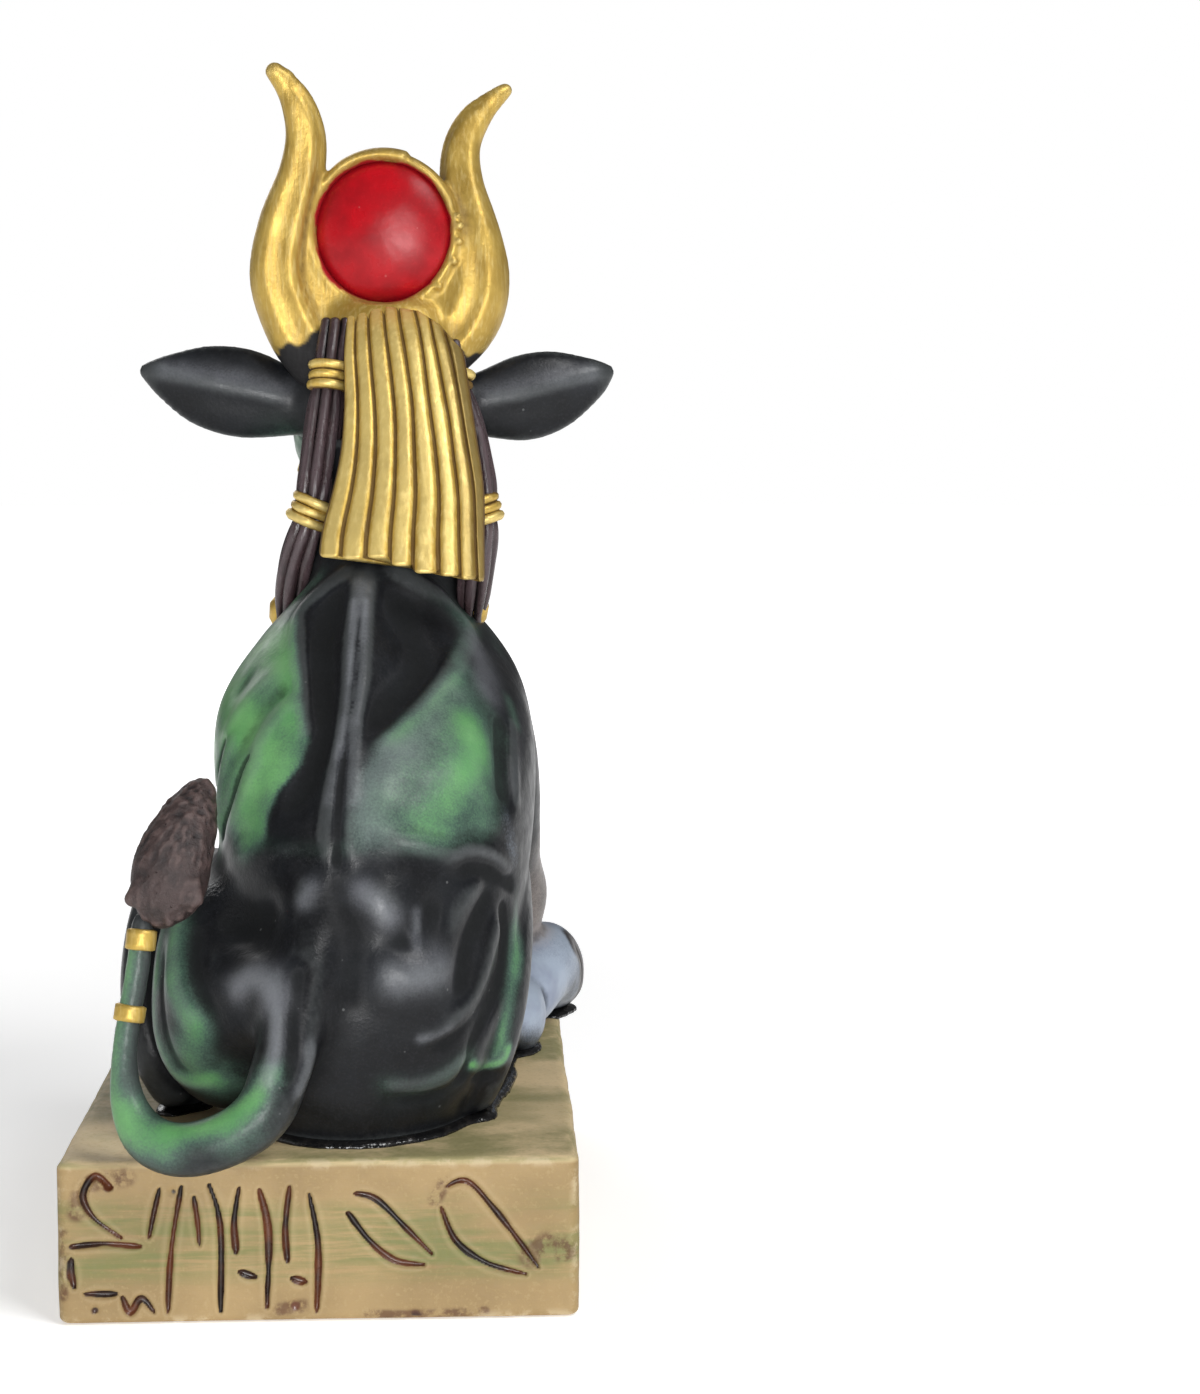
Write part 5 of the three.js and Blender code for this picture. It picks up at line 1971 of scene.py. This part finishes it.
def bead_paint():
    material, nodes, shader, place = new_material("bead_paint", roughness=0.14)
    bubbles = use_group(nodes, "specks", "Mask", Place=place, Scale=760.0, Amount=0.3)
    broad = nodes.noise(place, 500.0, 4.0)
    colour = nodes.mix(nodes.ramp(broad, 0.4, 0.7), srgb(14, 14, 15), srgb(30, 28, 27))
    nodes.feed(shader, "Base Color", colour)
    nodes.feed(shader, "Roughness", nodes.ramp(broad, 0.3, 0.7, 0.08, 0.26))
    relief(nodes, shader, nodes.maths("ADD", bubbles, broad), 0.0004, 0.8)
    return material


def eye_paint():
    material, nodes, shader, place = new_material("eye_paint", roughness=0.1)
    broad = nodes.noise(place, 400.0, 3.0)
    colour = nodes.mix(nodes.ramp(broad, 0.3, 0.7), srgb(18, 12, 12), srgb(44, 28, 22))
    nodes.feed(shader, "Base Color", colour)
    nodes.feed(shader, "Roughness", nodes.ramp(broad, 0.3, 0.7, 0.06, 0.14))
    relief(nodes, shader, broad, 0.0001, 0.2)
    return material


def plinth_paint():
    """Tan paint with a brushed green wash, brown stains and dark carved strokes, a top face painted paler as
    painted light, and painted highlights on the lips of the strokes.
    """
    material, nodes, shader, place = new_material("plinth_paint", roughness=0.62)
    split = nodes.add("ShaderNodeSeparateXYZ", Vector=place)
    height = split.outputs[2]
    broad = nodes.noise(place, 60.0, 4.0)
    fine = nodes.noise(place, 1800.0, 3.0)
    # The top face is painted paler: painted light on the face that looks up.
    top = nodes.ramp(height, 0.0205, 0.0213)
    colour = nodes.mix(nodes.ramp(broad, 0.3, 0.7), TAN, DARK_TAN)
    colour = nodes.mix(top, colour, LIT_TOP_TAN)
    colour = nodes.mix(nodes.ramp(fine, 0.5, 0.8, 0.0, 0.35), colour, srgb(176, 156, 118))
    drawn = nodes.add("ShaderNodeMapping", Vector=place, Scale=(70.0, 90.0, 1100.0)).outputs[0]
    bristle = nodes.noise(drawn, 1.0, 5.0, 0.65)
    drawn_far = nodes.add("ShaderNodeMapping", Vector=place, Scale=(28.0, 40.0, 130.0)).outputs[0]
    patches = nodes.noise(drawn_far, 1.0, 3.0)
    band = nodes.maths("MULTIPLY", nodes.ramp(height, 0.004, 0.008), nodes.ramp(height, 0.018, 0.014))
    band = nodes.maths("MAXIMUM", band, nodes.maths("MULTIPLY", top, 0.9))
    wash = nodes.maths("MULTIPLY", nodes.ramp(bristle, 0.3, 0.6), nodes.ramp(patches, 0.34, 0.56))
    wash = nodes.maths("MULTIPLY", wash, band)
    colour = nodes.mix(nodes.maths("MULTIPLY", wash, 0.75), colour, GREEN_WASH)
    stain = nodes.ramp(nodes.noise(place, 95.0, 6.0, 0.7, 0.4), 0.6, 0.74)
    rim = nodes.mark("rim")
    stain = nodes.maths("MULTIPLY", stain, nodes.ramp(rim, 0.0, 0.8, 0.35, 1.0))
    colour = nodes.mix(nodes.maths("MULTIPLY", stain, 0.75), colour, BROWN_STAIN)
    dirt = nodes.ramp(nodes.noise(place, 420.0, 5.0, 0.7), 0.4, 0.58)
    dirt = nodes.maths("MULTIPLY", dirt, nodes.ramp(nodes.mark("dirt"), 0.1, 0.7))
    colour = nodes.mix(nodes.maths("MULTIPLY", dirt, 0.8), colour, srgb(84, 50, 26))
    scuff = nodes.maths("MULTIPLY", rim, nodes.ramp(nodes.noise(place, 300.0, 5.0, 0.7), 0.5, 0.64))
    colour = nodes.mix(nodes.maths("MULTIPLY", scuff, 0.5), colour, srgb(206, 190, 158))
    groove = nodes.mark("groove")
    uneven = nodes.maths("SUBTRACT", nodes.noise(place, 260.0, 4.0), 0.5)
    ink = nodes.ramp(nodes.maths("ADD", groove, uneven), 0.25, 0.6)
    ink = nodes.maths("MULTIPLY", ink, nodes.ramp(groove, 0.02, 0.2))
    # The lips round the strokes are painted paler, a painted highlight where their raised edges catch the
    # light.
    colour = nodes.mix(nodes.maths("MULTIPLY", nodes.mark("lip"), 0.15), colour, srgb(190, 168, 128))
    worn = nodes.ramp(nodes.noise(place, 130.0, 3.0), 0.42, 0.62)
    brown = nodes.mix(worn, srgb(30, 18, 14), srgb(92, 50, 28))
    colour = nodes.mix(ink, colour, brown)
    nodes.feed(shader, "Base Color", colour)
    rough = nodes.ramp(fine, 0.3, 0.7, 0.56, 0.72)
    nodes.feed(shader, "Roughness", nodes.maths("SUBTRACT", rough, nodes.maths("MULTIPLY", ink, 0.3)))
    bumps = nodes.maths("ADD", nodes.noise(place, 600.0, 5.0, 0.6), nodes.maths("MULTIPLY", bristle, 0.5))
    relief(nodes, shader, bumps, 0.0002, 0.5)
    return material


# Stage

FLOOR_HALF = 3.0
CAMERA_PLACE = (-0.0198, 0.3824, 0.1175)
CAMERA_YAW = 2.83
CAMERA_PITCH = 6.15
CAMERA_LENS = 68.36
SENSOR_WIDTH = 36


def camera():
    data = bpy.data.cameras.new("camera")
    data.lens = CAMERA_LENS
    data.sensor_width = SENSOR_WIDTH
    data.clip_start = 0.01
    made = bpy.data.objects.new("camera", data)
    yaw = math.radians(CAMERA_YAW)
    pitch = math.radians(CAMERA_PITCH)
    look = Vector((-math.sin(yaw) * math.cos(pitch), -math.cos(yaw) * math.cos(pitch), -math.sin(pitch)))
    made.location = CAMERA_PLACE
    made.rotation_euler = look.to_track_quat("-Z", "Y").to_euler()
    bpy.context.scene.collection.objects.link(made)
    bpy.context.scene.camera = made


def floor():
    """A plain pale floor that fades into the white round it."""
    mesh = bpy.data.meshes.new("floor")
    rings = 12
    sides = 48
    points = [(0, 0, 0)]
    faces = []
    for k in range(1, rings + 1):
        radius = FLOOR_HALF * (k / rings) ** 2
        for i in range(sides):
            angle = 2 * math.pi * i / sides
            points.append((radius * math.cos(angle), radius * math.sin(angle), 0))
    for i in range(sides):
        after = (i + 1) % sides
        faces.append((0, 1 + i, 1 + after))
        for k in range(rings - 1):
            a = 1 + k * sides
            faces.append((a + i, a + sides + i, a + sides + after, a + after))
    mesh.from_pydata(points, [], faces)
    material, nodes, shader, place = new_material("floor", roughness=0.8)
    shade = nodes.mix(nodes.noise(place, 9.0, 2.0), srgb(246, 246, 246), srgb(250, 250, 250))
    nodes.feed(shader, "Base Color", shade)
    shader.inputs["Specular IOR Level"].default_value = 0.1
    away = nodes.add("ShaderNodeVectorMath", {"operation": "LENGTH"}, Vector=place).outputs["Value"]
    fade = nodes.ramp(away, 0.12, 0.6)
    glow = nodes.mix(fade, (0.42, 0.42, 0.42, 1), (1, 1, 1, 1))
    nodes.feed(shader, "Emission Color", glow)
    shader.inputs["Emission Strength"].default_value = 1.0
    mesh.materials.append(material)
    made = bpy.data.objects.new("floor", mesh)
    bpy.context.scene.collection.objects.link(made)


def area_light(name, place, aim, size, power):
    data = bpy.data.lights.new(name, "AREA")
    data.shape = "RECTANGLE"
    data.size = size[0]
    data.size_y = size[1]
    data.energy = power
    made = bpy.data.objects.new(name, data)
    made.location = place
    made.rotation_euler = (Vector(aim) - Vector(place)).to_track_quat("-Z", "Y").to_euler()
    bpy.context.scene.collection.objects.link(made)


def studio():
    world = bpy.data.worlds.new("studio")
    bpy.context.scene.world = world
    world.use_nodes = True
    tree = world.node_tree
    nodes = Nodes(tree)
    plain = tree.nodes["Background"]
    plain.inputs["Strength"].default_value = 0.12
    plain.inputs["Color"].default_value = (1, 1, 1, 1)
    seen = nodes.add("ShaderNodeBackground", Color=(1, 1, 1, 1), Strength=1.0)
    path = tree.nodes.new("ShaderNodeLightPath")
    mixed = tree.nodes.new("ShaderNodeMixShader")
    tree.links.new(path.outputs["Is Camera Ray"], mixed.inputs[0])
    tree.links.new(plain.outputs[0], mixed.inputs[1])
    tree.links.new(seen.outputs[0], mixed.inputs[2])
    tree.links.new(mixed.outputs[0], tree.nodes["World Output"].inputs["Surface"])
    middle = (0, 0, 0.08)
    area_light("rear", (-0.04, 0.95, 0.12), middle, (0.3, 0.26), 6.0)
    area_light("above", (-0.5, 0.5, 0.8), middle, (0.4, 0.3), 5.6)
    area_light("left", (0.8, 0.25, 0.3), middle, (0.4, 0.5), 0.5)
    area_light("right", (-0.75, 0.3, 0.35), middle, (0.4, 0.5), 0.3)
    area_light("front", (0.3, -0.85, 0.5), middle, (0.5, 0.5), 2.0)
    bpy.context.scene.view_settings.view_transform = "Standard"
    bpy.context.scene.view_settings.look = "None"


def body():
    clay, thigh_lines = body_clay()
    points, faces = clay.skinned()
    marks = body_marks(clay, points, thigh_lines)
    made = piece("cow_body", to_object(points), faces, body_paint(), marks)
    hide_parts("cow")
    bonding_bead(clay)
    collar(clay)


def head():
    clay = head_clay()
    points, faces = clay.skinned()
    paint = body_paint("head_paint")
    marks = head_marks(clay, points)
    made = piece("cow_head", to_object(points), faces, paint, marks)
    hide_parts("cow")


camera()
floor()
studio()
body()
head()
eyes()
crown()
sun_disc()
headcloth()
braids()
gold_bands()
tail_bands()
tail_tuft()
plinth()
